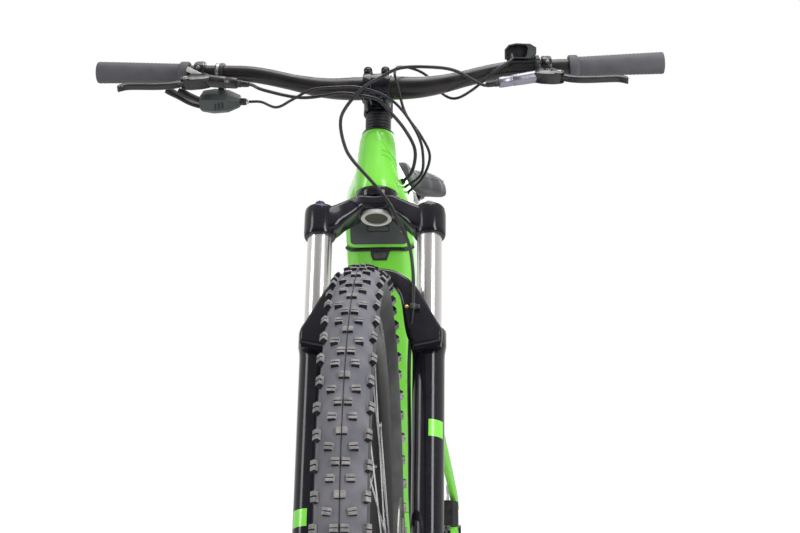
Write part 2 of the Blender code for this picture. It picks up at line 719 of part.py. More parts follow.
def build_stanchions(steering):
    for side, word in ((1, "left"), (-1, "right")):
        tube = [(STANCHION_RADIUS, SEAL_TOP - FORK_TRAVEL - 0.060),
                (STANCHION_RADIUS, CROWN_SHOULDER_TOP - 0.0105)]
        piece(f"stanchion_{word}", moved(turned(tube, 16), leg_place(side)), steering, "chrome")


def build_lockout_dial(steering):
    carrier = anchor("lockout_axis", leg_place(-1) @ Vector((0, 0, CROWN_SHOULDER_TOP)), parent=steering)
    knob = turned([(0.0080, FIT), (0.0080, 0.002), (DIAL_RADIUS, 0.003),
                   (DIAL_RADIUS, DIAL_HEIGHT - 0.002),
                   (DIAL_RADIUS - 0.002, DIAL_HEIGHT)], 14)
    dial = piece("lockout_dial", knob, carrier, "purple_anodised")
    join(dial, box((-0.0015, -0.0105, 0.004), (0.0015, 0.0, 0.008)), "pointer")


def fork_lug(side):
    """The foot of a leg, which carries the axle ahead of the leg."""
    y = -FORK_OFFSET
    z = -FORK_LENGTH
    outline = [*arc((y, z), 0.0165, 150, 350, 6), (-CROWN_OFFSET + 0.017, z + 0.020),
               (-CROWN_OFFSET + 0.017, z + 0.060), (-CROWN_OFFSET - 0.017, z + 0.060)]
    ends = sorted((side * (FRONT_SPACING / 2 + FIT), side * (FRONT_SPACING / 2 + 0.016)))
    return side_plate(outline, *ends)


def fork_arch():
    """The brace behind the tyre, from collar to collar."""
    half = STANCHION_SPACING / 2
    stations = ((half - 0.004, -0.004, SEAL_TOP - 0.022, 0.012, 0.012),
                (0.060, 0.010, SEAL_TOP + 0.013, 0.009, 0.010),
                (0.043, 0.016, SEAL_TOP + 0.037, 0.009, 0.0075),
                (0.024, 0.017, SEAL_TOP + 0.047, 0.009, 0.0065))
    whole = [*[(-x, y, z, a, b) for x, y, z, a, b in stations], *reversed(stations)]
    return swept([((x, y, z), rounded_box(a, b, 0.004, 1)) for x, y, z, a, b in whole], Vector((0, 1, 0)))


def build_lowers(lowers):
    leg = [(0.012, FORK_FOOT - 0.016), (LEG_RADIUS - 0.002, FORK_FOOT - 0.008),
           (LEG_RADIUS, FORK_FOOT + 0.015),
           (LEG_RADIUS, SEAL_TOP - 0.030),
           (COLLAR_RADIUS, SEAL_TOP - 0.024), (COLLAR_RADIUS, SEAL_TOP - 0.003),
           (COLLAR_RADIUS - 0.002, SEAL_TOP)]
    casting = piece("fork_lowers", moved(turned(leg, 16), leg_place(1)), lowers, "gloss_black")
    join(casting, fork_arch(), "arch")
    join(casting, moved(turned(leg, 16), leg_place(-1)), "right_leg")
    for side, word in ((1, "left"), (-1, "right")):
        join(casting, fork_lug(side), f"{word}_lug")
    boss = FRONT_SPACING / 2 - ROTOR_INSET + CALIPER_OUTER_HALF + FIT
    outside = STANCHION_SPACING / 2 + 0.0065
    join(casting, box((boss, -0.006, FORK_FOOT + 0.018), (outside, 0.040, FORK_FOOT + 0.056)),
         "brake_boss")
    for side, word in ((1, "left"), (-1, "right")):
        bore = STANCHION_RADIUS + RUNNING_FIT
        well = turned([(bore, FORK_FOOT + 0.030), (bore, SEAL_TOP + 0.010)], 16)
        cut(casting, moved(well, leg_place(side)), f"{word}_well")
    hole = clear_bore(AXLE_RADIUS, 12)
    axle = along_x(turned([(hole, -0.1), (hole, 0.1)], 12))
    cut(casting, moved(axle, Matrix.Translation((0, -FORK_OFFSET, -FORK_LENGTH))), "axle_bore")
    recess = along_x(turned([(0.0122, FRONT_SPACING / 2 + 0.016), (0.0122, 0.1)], 12))
    cut(casting, moved(recess, Matrix.Translation((0, -FORK_OFFSET, -FORK_LENGTH))), "axle_head_room")


def front_caliper_place():
    """Behind the left leg: X along the axle, Z out from it."""
    turn = Matrix.Rotation(-FRONT_CALIPER_ANGLE, 4, "X")
    centre = Vector((FRONT_SPACING / 2 - ROTOR_INSET, -FORK_OFFSET, -FORK_LENGTH))
    return Matrix.Translation(centre) @ turn @ Matrix.Translation((0, 0, ROTOR_RADIUS - 0.008))


def build_caliper(name, carrier, place):
    """Two pistons over a slot for the rotor."""
    inner = -CALIPER_INNER_HALF
    outer = CALIPER_OUTER_HALF
    outline = [(inner, -0.012), (outer, -0.012), (outer, 0.008), (outer - 0.009, 0.018),
               (inner + 0.006, 0.018),
               (inner, 0.008)]
    body = loft([[(x, y, z) for x, z in outline] for y in (-CALIPER_LENGTH, CALIPER_LENGTH)])
    slot = moved(box((-0.0022, -0.040, -0.030), (0.0022, 0.040, 0.0105)), place)
    caliper = piece(name, moved(body, place), carrier, "black_plastic")
    cut(caliper, slot, "rotor_slot")


# Wheels


def gather(parts):
    """One bmesh with all the given solids."""
    whole = bmesh.new()
    for bm in parts:
        mesh = bpy.data.meshes.new("part")
        bm.to_mesh(mesh)
        bm.free()
        whole.from_mesh(mesh)
        bpy.data.meshes.remove(mesh)
    return whole


def wheel_ring(half_section):
    """A ring about the axle from one half of its section, with a flat facet on the ground."""
    grow = 1 / math.cos(STEP_ANGLE / 2)
    half = [(radius * grow, x) for radius, x in half_section]
    section = [*half, *[(radius, -x) for radius, x in reversed(half)]]
    return along_x(hoop(section, RING_SIDES, STEP_ANGLE / 2))


def tyre():
    height = WHEEL_RADIUS - BEAD_RADIUS
    outside = [(BEAD_RADIUS, BEAD_HALF_WIDTH - 0.0008), (RIM_EDGE_RADIUS + 0.002, BEAD_HALF_WIDTH),
               (BEAD_RADIUS + height / 3, TYRE_HALF_WIDTH - 0.0035),
               (BEAD_RADIUS + height * 0.58, TYRE_HALF_WIDTH),
               (WHEEL_RADIUS - 0.008, TYRE_HALF_WIDTH - 0.0045), (WHEEL_RADIUS, TREAD_FLAT)]
    return wheel_ring(outside)


def rim():
    lip = BEAD_HALF_WIDTH + FIT
    half = [(RIM_INNER_RADIUS, 0.007), (RIM_INNER_RADIUS + 0.008, RIM_HALF_WIDTH - 0.001),
            (RIM_EDGE_RADIUS, RIM_HALF_WIDTH),
            (RIM_EDGE_RADIUS, lip), (BEAD_RADIUS - FIT, lip)]
    return wheel_ring(half)


def spokes(flanges):
    """Two-cross spokes; leading and trailing ones leave opposite faces of the flange."""
    half = SPOKES // 2
    rods = []
    for i in range(SPOKES):
        side = 1 if i % 2 == 0 else -1
        number = i // 2
        way = 1 if number % 2 == 0 else -1
        rim_angle = 2 * math.pi * i / SPOKES
        hub_angle = rim_angle + way * 2 * 2 * math.pi / half
        flange = flanges[0] if side > 0 else flanges[1]
        start = (flange + 0.0020 * way, 0.0235 * math.sin(hub_angle), 0.0235 * math.cos(hub_angle))
        reach = RIM_INNER_RADIUS - 0.0005
        end = (0.004 * side, reach * math.sin(rim_angle), reach * math.cos(rim_angle))
        rods.append(rod(start, end, SPOKE_HALF * math.sqrt(2), 3))
    return gather(rods)


def hub_section(half, flanges, boss, axle, drive_radius):
    """Hub shell from the rotor side's end to the other end: (radius, x) points."""
    left, right = flanges
    thick = 0.0035
    bore = clear_bore(axle, HUB_SIDES, RUNNING_FIT)
    return [(bore, half), (0.0105, half), (0.0105, boss + 0.003), (ROTOR_SEAT, boss + 0.002),
            (ROTOR_SEAT, left + thick), (0.0285, left + thick), (0.0285, left - thick),
            (0.0160, left - thick - 0.004),
            (0.0160, right + thick + 0.004), (0.0285, right + thick), (0.0285, right - thick),
            (drive_radius, right - thick), (drive_radius, -half), (bore, -half)]


def build_wheel(word, centre, spacing, flanges, axle, drive_radius, parent):
    spin = anchor(f"{word}_axle_line", centre, parent=parent)
    piece(f"{word}_tyre", tyre(), spin, "tyre_rubber")
    piece(f"{word}_rim", rim(), spin, "anodised_black")
    rotor_x = spacing / 2 - ROTOR_INSET
    section = hub_section(spacing / 2, flanges, rotor_x, axle, drive_radius)
    hub = piece(f"{word}_hub", along_x(hoop(section, HUB_SIDES)), spin, "anodised_black")
    join(hub, spokes(flanges), "spokes")
    build_rotor(f"{word}_rotor", rotor_x, spin)
    return spin


def build_rotor(name, x, spin):
    """A braking ring on six swept arms."""
    thin = ROTOR_HALF
    inner = clear_bore(ROTOR_SEAT, HUB_SIDES)
    ring = collar(ROTOR_RADIUS - 0.014, ROTOR_RADIUS, -thin, thin, 24)
    rotor = piece(name, along_x(ring, x), spin, "steel")
    join(rotor, along_x(collar(inner, 0.0300, -thin, thin, HUB_SIDES), x), "carrier")
    arms = []
    for i in range(6):
        a = math.pi / 3 * i
        b = a + math.radians(24)
        start = Vector((x, 0.0270 * math.cos(a), 0.0270 * math.sin(a)))
        end = Vector((x, (ROTOR_RADIUS - 0.009) * math.cos(b), (ROTOR_RADIUS - 0.009) * math.sin(b)))
        thickness = thin * 0.8
        section = [(thickness, 0.004), (-thickness, 0.004), (-thickness, -0.004), (thickness, -0.004)]
        arms.append(swept([(start, section), (end, section)]))
    join(rotor, gather(arms), "arms")


def build_axle(name, radius, half, carrier, centre):
    """A through axle with its head on the left."""
    head = half + 0.0040
    profile = [(radius, -half), (radius, half + FIT), (radius + 0.004, half + FIT),
               (radius + 0.004, head)]
    piece(name, moved(along_x(turned(profile, 12)), Matrix.Translation(centre)), carrier,
          "anodised_black")


# Cockpit


def bar_point(x):
    """The bar's centre line: level in the clamp, then rising and sweeping back."""
    t = abs(x)
    bend_start = 0.045
    bend_end = 0.190
    s = min(max((t - bend_start) / (bend_end - bend_start), 0), 1)
    ease = s * s * (3 - 2 * s)
    far = (t - bend_start) / (BAR_WIDTH / 2 - bend_start)
    centre = STEER @ Vector((0, -STEM_LENGTH, STEM_MIDDLE))
    return centre + Vector((x, BAR_SWEEP * ease * far, BAR_RISE * ease * (0.55 + 0.45 * far)))


def bar_radius(x):
    t = min(max((abs(x) - 0.032) / 0.083, 0), 1)
    return BAR_CLAMP_RADIUS + (BAR_RADIUS - BAR_CLAMP_RADIUS) * t


def control_frame(side):
    """On the bar where the controls sit: X along the bar, -Y in the levers' plane, ahead and down."""
    origin = bar_point(CONTROL_X[side] * side)
    along = (bar_point((CONTROL_X[side] + 0.1) * side) - origin).normalized() * side
    reach = Vector((0, -math.cos(LEVER_DROP), -math.sin(LEVER_DROP)))
    up = along.cross(-reach).normalized()
    back = up.cross(along)
    turn = Matrix((along, back, up)).transposed()
    return Matrix.Translation(origin) @ turn.to_4x4()


def mirrored_x(bm, side):
    return moved(bm, Matrix.Diagonal((side, 1, 1, 1)))


def build_bar(steering_world):
    stops = [0, 0.032, 0.060, 0.090, 0.120, 0.150, 0.190, BAR_WIDTH / 2 - 0.004]
    xs = [-x for x in reversed(stops[1:])] + stops
    stations = [(bar_point(x), circle(bar_radius(x), 12)) for x in xs]
    piece("handlebar", swept(stations, Vector((0, 1, 0))), steering_world, "anodised_black")


def build_grips(steering_world):
    inner = clear_bore(BAR_RADIUS, 12, 0.0005)
    for side, word in ((1, "left"), (-1, "right")):
        first = BAR_WIDTH / 2 - GRIP_LENGTH - CONTROL_X[side]
        last = BAR_WIDTH / 2 - CONTROL_X[side]
        section = [(inner, first), (0.0160, first), (0.0160, first + 0.012),
                   (GRIP_RADIUS - 0.001, first + 0.014),
                   (GRIP_RADIUS, last - 0.040), (GRIP_RADIUS + 0.001, last - 0.002),
                   (0.0120, last + 0.001),
                   (0.0040, last + 0.001), (0.0040, last - 0.0015), (inner, last - 0.0015)]
        sleeve = mirrored_x(along_x(hoop(section, 12)), side)
        piece(f"grip_{word}", moved(sleeve, control_frame(side)), steering_world, "rubber")


def build_faceplate(steering):
    """A strap curved round the bar between four bolt bosses."""
    bar = Vector((0, -STEM_LENGTH, STEM_MIDDLE))
    front = arc((0, 0), FACEPLATE_RADIUS, 245, 115, 5)
    section = [(-FIT, -BOLT_RISE), *front, (-FIT, BOLT_RISE)]
    strap = side_plate(section, -FACEPLATE_HALF_WIDTH, FACEPLATE_HALF_WIDTH)
    plate = piece("stem_faceplate", moved(strap, Matrix.Translation(bar)), steering, "gloss_black")
    for x in (-BOLT_SIDE, BOLT_SIDE):
        for z in (-BOLT_RISE, BOLT_RISE):
            boss = rod(bar + Vector((x, -FIT, z)), bar + Vector((x, -BOSS_DEPTH, z)), BOSS_RADIUS, 10)
            join(plate, boss, f"boss_{'left' if x > 0 else 'right'}_{'top' if z > 0 else 'bottom'}")
    hole = clear_bore(BAR_CLAMP_RADIUS, 16)
    bar_room = along_x(turned([(hole, -0.05), (hole, 0.05)], 16))
    cut(plate, moved(bar_room, Matrix.Translation(bar)), "bar_bore")


def build_stem(steering):
    bore = STEERER_RADIUS + FIT
    clamp = collar(bore, 0.0205, STEM_BASE, STEM_BASE + STEM_HEIGHT, HEAD_SIDES)
    stem = piece("stem", clamp, steering, "gloss_black")
    y = -STEM_LENGTH
    block = swept([((0, -0.0165, STEM_MIDDLE), rounded_box(0.0150, STEM_HEIGHT / 2 - 0.002, 0.006, 1)),
                   ((0, y + 0.010, STEM_MIDDLE), rounded_box(0.0190, 0.0195, 0.006, 1)),
                   ((0, y + FIT, STEM_MIDDLE), rounded_box(0.0200, 0.0240, 0.006, 1))])
    join(stem, block, "block")
    steerer_room = turned([(bore, STEM_BASE - 0.01), (bore, STEM_BASE + STEM_HEIGHT + 0.01)], HEAD_SIDES)
    cut(stem, steerer_room, "steerer_bore")
    hole = clear_bore(BAR_CLAMP_RADIUS, 16)
    bar_room = turned([(hole, -0.05), (hole, 0.05)], 16)
    cut(stem, moved(along_x(bar_room), Matrix.Translation((0, y, STEM_MIDDLE))), "bar_bore")
    top = STEM_BASE + STEM_HEIGHT
    cap = turned([(0.0170, top - 0.0015), (0.0170, top + 0.002), (0.0145, top + 0.004)], HEAD_SIDES)
    join(stem, cap, "top_cap")


def build_spacers(steering):
    """Three spacers, told apart by the grooves between them."""
    bore = STEERER_RADIUS + FIT
    rings = 3
    pitch = SPACER_STACK / rings
    outside = []
    for i in range(rings):
        low = SPACER_BASE + i * pitch
        outside += [(SPACER_RADIUS - 0.0012, low), (SPACER_RADIUS, low + 0.0008),
                    (SPACER_RADIUS, low + pitch - 0.0008)]
    top = SPACER_BASE + SPACER_STACK
    section = [*outside, (SPACER_RADIUS - 0.0012, top), (bore, top), (bore, SPACER_BASE)]
    piece("headset_spacers", hoop(section, HEAD_SIDES), steering, "black_plastic")


# Controls, in the control frame: X outward, Y back, Z up


def control_piece(name, bm, side, steering_world, look):
    return piece(name, moved(mirrored_x(bm, side), control_frame(side)), steering_world, look)


def control_join(target, bm, side, label):
    return join(target, moved(mirrored_x(bm, side), control_frame(side)), label)


def control_cut(target, bm, side, label):
    return cut(target, moved(mirrored_x(bm, side), control_frame(side)), label)


def bar_ring(outer, low, high):
    return along_x(collar(clear_bore(BAR_RADIUS, 12), outer, low, high, 12))


def build_brake_body(side, steering_world):
    """Bar clamp, fluid cylinder along the bar and the fork that holds the lever's pin."""
    word = "left" if side > 0 else "right"
    x, y = LEVER_PIVOT
    near = Vector((0.004, -0.0225, 0))
    far = Vector((*CYLINDER_END, 0))
    steps = ((0.0, 0.0070), (0.06, 0.0085), (0.72, 0.0075), (0.74, 0.0068), (0.96, 0.0065), (1.0, 0.0050))
    cylinder = swept([(near.lerp(far, t), circle(r, 10)) for t, r in steps], Vector((0, 0, 1)))
    body = control_piece(f"brake_body_{word}", cylinder, side, steering_world, "brake_grey")
    control_join(body, bar_ring(0.0160, -0.006, 0.006), side, "clamp")
    jaw = [(-0.016, -0.024), (-0.004, -0.014), (0.003, -0.016), (x + 0.007, y + 0.007),
           (x + 0.007, y - 0.007),
           (x - 0.006, y - 0.007), (-0.016, -0.033)]
    control_join(body, prism(jaw, -LEVER_THICK - 0.003, LEVER_THICK + 0.003), side, "jaw")
    gap = LEVER_THICK + RUNNING_FIT
    control_cut(body, box((x - 0.0068, y - 0.020, -gap), (x + 0.020, y + 0.020, gap)), side, "jaw_gap")
    pin = moved(turned([(0.0022, -gap - 0.001), (0.0022, gap + 0.001)], 10),
                Matrix.Translation((x, y, 0)))
    control_join(body, pin, side, "pin")


def build_brake_lever(side, steering_world):
    word = "left" if side > 0 else "right"
    pivot = control_frame(side) @ Vector((LEVER_PIVOT[0] * side, LEVER_PIVOT[1], 0))
    carrier = anchor(f"brake_pivot_{word}", pivot, control_frame(side).to_3x3(), steering_world)
    thick = LEVER_THICK
    boss = turned([(0.0058, -thick), (0.0058, thick)], 14)
    lever = piece(f"brake_lever_{word}", boss, carrier, "brake_grey")
    route = ((0.002, 0.0, 0.0042), (0.016, -0.009, 0.0048), (0.038, -0.0145, 0.0042),
             (0.066, -0.0145, 0.0045),
             (0.081, -0.0155, 0.0050), (0.0870, -0.0190, 0.0035))
    section = [((x * side, y, 0), rounded_box(r, thick - 0.0002, 0.0025, 1)) for x, y, r in route]
    join(lever, swept(section, Vector((0, 1, 0))), "blade")
    bore = clear_bore(0.0022, 10, RUNNING_FIT)
    cut(lever, turned([(bore, -0.02), (bore, 0.02)], 10), "pin_bore")


def build_shifter(steering_world):
    """The gear pod under the bar with its two paddles on one pin."""
    side = -1
    low, high = (-0.050, -0.021)
    half = (high - low) / 2
    steps = ((-0.054, 0.009, 0.007), (-0.040, 0.0155, half - 0.002), (-0.018, 0.0165, half),
             (0.0, 0.0145, half - 0.003))
    pod = loft([[(x, y, z) for y, z in rounded_box(wide, tall, 0.004, 1)] for x, wide, tall in steps])
    body = control_piece("shifter_body", moved(pod, Matrix.Translation((0, -0.013, (low + high) / 2))),
                         side,
                         steering_world, "black_plastic")
    control_join(body, bar_ring(0.0142, -0.032, -0.022), side, "clamp")
    control_join(body, box((-0.031, -0.005, high - 0.005), (-0.023, 0.005, -0.0125)), side, "stalk")
    barrel = moved(along_x(turned([(0.0035, -0.067), (0.0048, -0.064), (0.0048, -0.050)], 10)),
                   Matrix.Translation((0, -0.014, -0.0355)))
    control_join(body, barrel, side, "barrel")
    x, y = PADDLE_PIVOT
    middle = -0.0355
    control_cut(body, box((x - 0.010, -0.05, middle - 0.0039), (0.02, 0.03, middle + 0.0039)), side,
                "paddle_slot")
    pin = moved(turned([(0.0026, middle - 0.006), (0.0026, middle + 0.006)], 10),
                Matrix.Translation((x, y, 0)))
    control_join(body, pin, side, "pin")
    place = control_frame(side)
    carrier = anchor("paddle_axis", place @ Vector((x * side, y, 0)), place.to_3x3(), steering_world)
    shift = [(-0.006, -0.004), (0.0, -0.008), (0.018, -0.006), (0.038, -0.003), (0.050, 0.003),
             (0.049, 0.013),
             (0.036, 0.015), (0.020, 0.008), (0.0, 0.008), (-0.006, 0.004)]
    build_paddle("shift_paddle", shift, (middle - 0.0036, middle - FIT), carrier)
    release = [(-0.007, -0.003), (-0.004, -0.007), (0.016, -0.016), (0.034, -0.021), (0.039, -0.016),
               (0.032, -0.010),
               (0.016, -0.004), (0.004, 0.007), (-0.006, 0.005)]
    build_paddle("release_paddle", release, (middle + FIT, middle + 0.0036), carrier)


def build_paddle(name, outline, span, carrier):
    flipped = [(-x, y) for x, y in outline]
    paddle = piece(name, prism(flipped, *span), carrier, "black_plastic")
    bore = clear_bore(0.0026, 10, RUNNING_FIT)
    cut(paddle, turned([(bore, span[0] - 0.01), (bore, span[1] + 0.01)], 10), "pin_bore")


def build_remote(steering_world):
    """The motor's remote inboard of the left brake, with one big button towards the rider."""
    stations = ((-0.056, 0.0060, 0.0060), (-0.050, 0.0092, 0.0085), (-0.019, 0.0098, 0.0095),
                (-0.010, 0.0080, 0.0070))
    shell = loft([[(x, y, z) for y, z in rounded_box(deep, tall, 0.004, 1)] for x, deep,
                  tall in stations])
    housing = control_piece("remote_housing", moved(shell, Matrix.Translation((0, 0.006, 0.0215))), 1,
                            steering_world, "black_plastic")
    control_join(housing, bar_ring(0.0138, -0.0160, -0.0085), 1, "clamp")
    x, y, z = REMOTE_BUTTON
    well = moved(turned([(0.0065 + RUNNING_FIT, 0.0), (0.0065 + RUNNING_FIT, 0.03)], 16), button_place())
    control_cut(housing, well, 1, "button_well")
    place = control_frame(1)
    carrier = anchor("button_axis", place @ Vector((x, y, z)), place.to_3x3(), steering_world)
    button = turned([(0.0065, BUTTON_TRAVEL + FIT), (0.0065, 0.0055), (0.0055, 0.0065)], 16)
    piece("remote_button", moved(button, Matrix.Rotation(-math.pi / 2, 4, "X")), carrier, "grey_plastic")


def button_place():
    return Matrix.Translation(REMOTE_BUTTON) @ Matrix.Rotation(-math.pi / 2, 4, "X")


# Drivetrain


def pitch_radius(teeth):
    return CHAIN_PITCH / (2 * math.sin(math.pi / teeth))


def tip_radius(teeth):
    return pitch_radius(teeth) - TIP_BELOW_PITCH


def chain_radius(teeth):
    """Of the chain's middle line round a sprocket."""
    return tip_radius(teeth) + CHAIN_HALF_HEIGHT + 0.0009


def build_cassette(parent):
    spin = anchor("cassette_axis", REAR_AXLE, parent=parent)
    bore = clear_bore(FREEHUB_RADIUS, HUB_SIDES, RUNNING_FIT)
    section = [(bore, CASSETTE_START + COG_HALF)]
    for i, teeth in enumerate(COG_TEETH):
        x = CASSETTE_START - i * COG_PITCH
        tip = tip_radius(teeth)
        inside = max(tip - 0.016, bore + 0.0012)
        section += [(tip, x + COG_HALF), (tip, x - COG_HALF), (inside, x - COG_HALF)]
    section.append((bore, CASSETTE_START - (len(COG_TEETH) - 1) * COG_PITCH - COG_HALF))
    piece("cassette", along_x(hoop(section, HUB_SIDES)), spin, "steel")


def toothed(teeth, root_depth):
    tip = tip_radius(teeth)
    points = []
    for i in range(teeth):
        for part, radius in ((-0.5, tip - root_depth), (0, tip)):
            a = 2 * math.pi * (i + part) / teeth
            points.append((radius * math.cos(a), radius * math.sin(a)))
    return points


def build_cranks(root):
    crank = anchor("crank_axis", CRANK_AXIS, parent=root)
    arm = ((0.0, 0.0165, 0.0080, 0.0700), (0.030, 0.0150, 0.0075, 0.0705),
           (0.100, 0.0125, 0.0065, 0.0770),
           (0.150, 0.0120, 0.0065, 0.0820), (0.171, 0.0130, 0.0065, 0.0830))
    for side, word in ((1, "left"), (-1, "right")):
        stations = [((x * side, d * side, 0), rounded_box(thick, wide, 0.004, 1)) for d, wide, thick,
                    x in arm]
        blade = piece(f"crank_arm_{word}", swept(stations), crank, "gloss_black")
        root_end = along_x(turned([(0.0175, 0.0612), (0.0190, 0.0630), (0.0190, 0.0765),
                                   (0.0165, 0.0790)], 12))
        join(blade, mirrored_x(root_end, side), "root")
        tip_end = along_x(turned([(0.0145, 0.0758), (0.0145, 0.0902)], 12))
        join(blade, moved(mirrored_x(tip_end, side), Matrix.Translation((0, CRANK_LENGTH * side, 0))),
             "tip")
        peg = along_x(turned([(0.0060, 0.080), (0.0060, PEDAL_OUT - 0.003)], 10))
        join(blade, moved(mirrored_x(peg, side), Matrix.Translation((0, CRANK_LENGTH * side, 0))),
             "pedal_peg")
        build_pedal(word, side, crank)
        if side > 0:
            socket = turned([(SPINDLE_RADIUS + FIT, 0.05), (SPINDLE_RADIUS + FIT, 0.0745)], SPINDLE_SIDES)
            cut(blade, along_x(socket), "spindle_bore")
        else:
            spindle = turned([(SPINDLE_RADIUS, -0.070), (SPINDLE_RADIUS, 0.0742)], SPINDLE_SIDES)
            join(blade, along_x(spindle), "spindle")
    build_chainring(crank)


def build_chainring(crank):
    """A toothed ring on a four-armed spider."""
    half = 0.0009
    teeth = toothed(CHAINRING_TEETH, 0.0038)
    ring = loft([[(x, y, z) for y, z in teeth] for x in (CHAIN_LINE - half, CHAIN_LINE + half)])
    chainring = piece("chainring", ring, crank, "black_plastic")
    cut(chainring, along_x(turned([(0.060, -0.08), (0.060, -0.02)], 24)), "window")
    bore = clear_bore(SPINDLE_RADIUS, SPINDLE_SIDES)
    low = CHAIN_LINE - 0.0055
    join(chainring, along_x(collar(bore, 0.0190, low, CHAIN_LINE + 0.0035, SPINDLE_SIDES)), "hub")
    arms = []
    for i in range(4):
        a = math.radians(45 + 90 * i)
        out = Vector((0, math.cos(a), math.sin(a)))
        section = [rounded_box(0.0022, wide, 0.0015, 1) for wide in (0.011, 0.006)]
        shift = Vector((CHAIN_LINE - 0.0006, 0, 0))
        arms.append(swept([(shift + out * 0.0150, section[0]), (shift + out * 0.0640, section[1])]))
    join(chainring, gather(arms), "spider")


def build_pedal(word, side, crank):
    carrier = anchor(f"pedal_axis_{word}", (0, CRANK_LENGTH * side, 0), parent=crank)
    inner = 0.0895 + 0.002
    outline = rounded_box((PEDAL_OUT - inner) / 2, PEDAL_HALF, 0.012)
    middle = (PEDAL_OUT + inner) / 2
    plate = prism([(x + middle, y) for x, y in outline], -0.0070, 0.0070)
    pedal = piece(f"pedal_{word}", mirrored_x(plate, side), carrier, "black_plastic")
    spans = ((inner + 0.009, middle - 0.004), (middle + 0.004, PEDAL_OUT - 0.009))
    for way in (1, -1):
        for number, (near, far) in enumerate(spans):
            ends = sorted((0.0165 * way, (PEDAL_HALF - 0.008) * way))
            window = box((near, ends[0], -0.02), (far, ends[1], 0.02))
            cut(pedal, mirrored_x(window, side), f"window_{number}_{'front' if way < 0 else 'back'}")
    barrel = along_x(turned([(0.0115, inner), (0.0115, PEDAL_OUT)], 16))
    join(pedal, mirrored_x(barrel, side), "barrel")
    bore = clear_bore(0.0060, 12, RUNNING_FIT)
    hole = along_x(turned([(bore, inner - 0.01), (bore, PEDAL_OUT - 0.0025)], 12))
    cut(pedal, mirrored_x(hole, side), "bore")


def sprocket_stops():
    """Centre, chain radius and winding (+1 anti-clockwise seen from the left) of each turn, in (y, z)."""
    ring = (CRANK_AXIS.yz, chain_radius(CHAINRING_TEETH), 1)
    tension = (TENSION_PULLEY.yz, chain_radius(PULLEY_TEETH), 1)
    guide = (GUIDE_PULLEY.yz, chain_radius(PULLEY_TEETH), -1)
    cog = (REAR_AXLE.yz, chain_radius(COG_TEETH[CHAIN_COG]), 1)
    return [ring, tension, guide, cog]


def chain_route():
    """The closed line of the chain as (y, z) points."""
    stops = sprocket_stops()
    contacts = []
    for (a, ra, sa), (b, rb, sb) in zip(stops, stops[1:] + stops[:1]):
        gap = b - a
        bearing = math.atan2(gap.y, gap.x)
        turn = math.acos((sb * rb - sa * ra) / gap.length)
        normal = Vector((math.cos(bearing + turn), math.sin(bearing + turn)))
        contacts.append((a - normal * sa * ra, b - normal * sb * rb))
    line = []
    for i, (centre, radius, winding) in enumerate(stops):
        arrive = contacts[i - 1][1] - centre
        leave = contacts[i][0] - centre
        first = math.atan2(arrive.y, arrive.x)
        sweep = (math.atan2(leave.y, leave.x) - first) * winding % (2 * math.pi)
        steps = max(3, math.ceil(sweep / math.radians(14)))
        grow = 1 / math.cos(sweep / steps / 2)
        for k in range(steps + 1):
            a = first + winding * sweep * k / steps
            reach = radius * (grow if 0 < k < steps else 1)
            line.append(centre + Vector((math.cos(a), math.sin(a))) * reach)
    return line


def build_chain(root):
    line = [Vector((CHAIN_LINE, p.x, p.y)) for p in chain_route()]
    section = [(-CHAIN_HALF_WIDTH, -CHAIN_HALF_HEIGHT), (CHAIN_HALF_WIDTH, -CHAIN_HALF_HEIGHT),
               (CHAIN_HALF_WIDTH, CHAIN_HALF_HEIGHT), (-CHAIN_HALF_WIDTH, CHAIN_HALF_HEIGHT)]
    rings = []
    for i, point in enumerate(line):
        along = (line[(i + 1) % len(line)] - line[i - 1]).normalized()
        out = along.cross(Vector((1, 0, 0)))
        rings.append([point + Vector((a, 0, 0)) + out * b for a, b in section])
    piece("chain", loft(rings, closed=True), root, "steel")


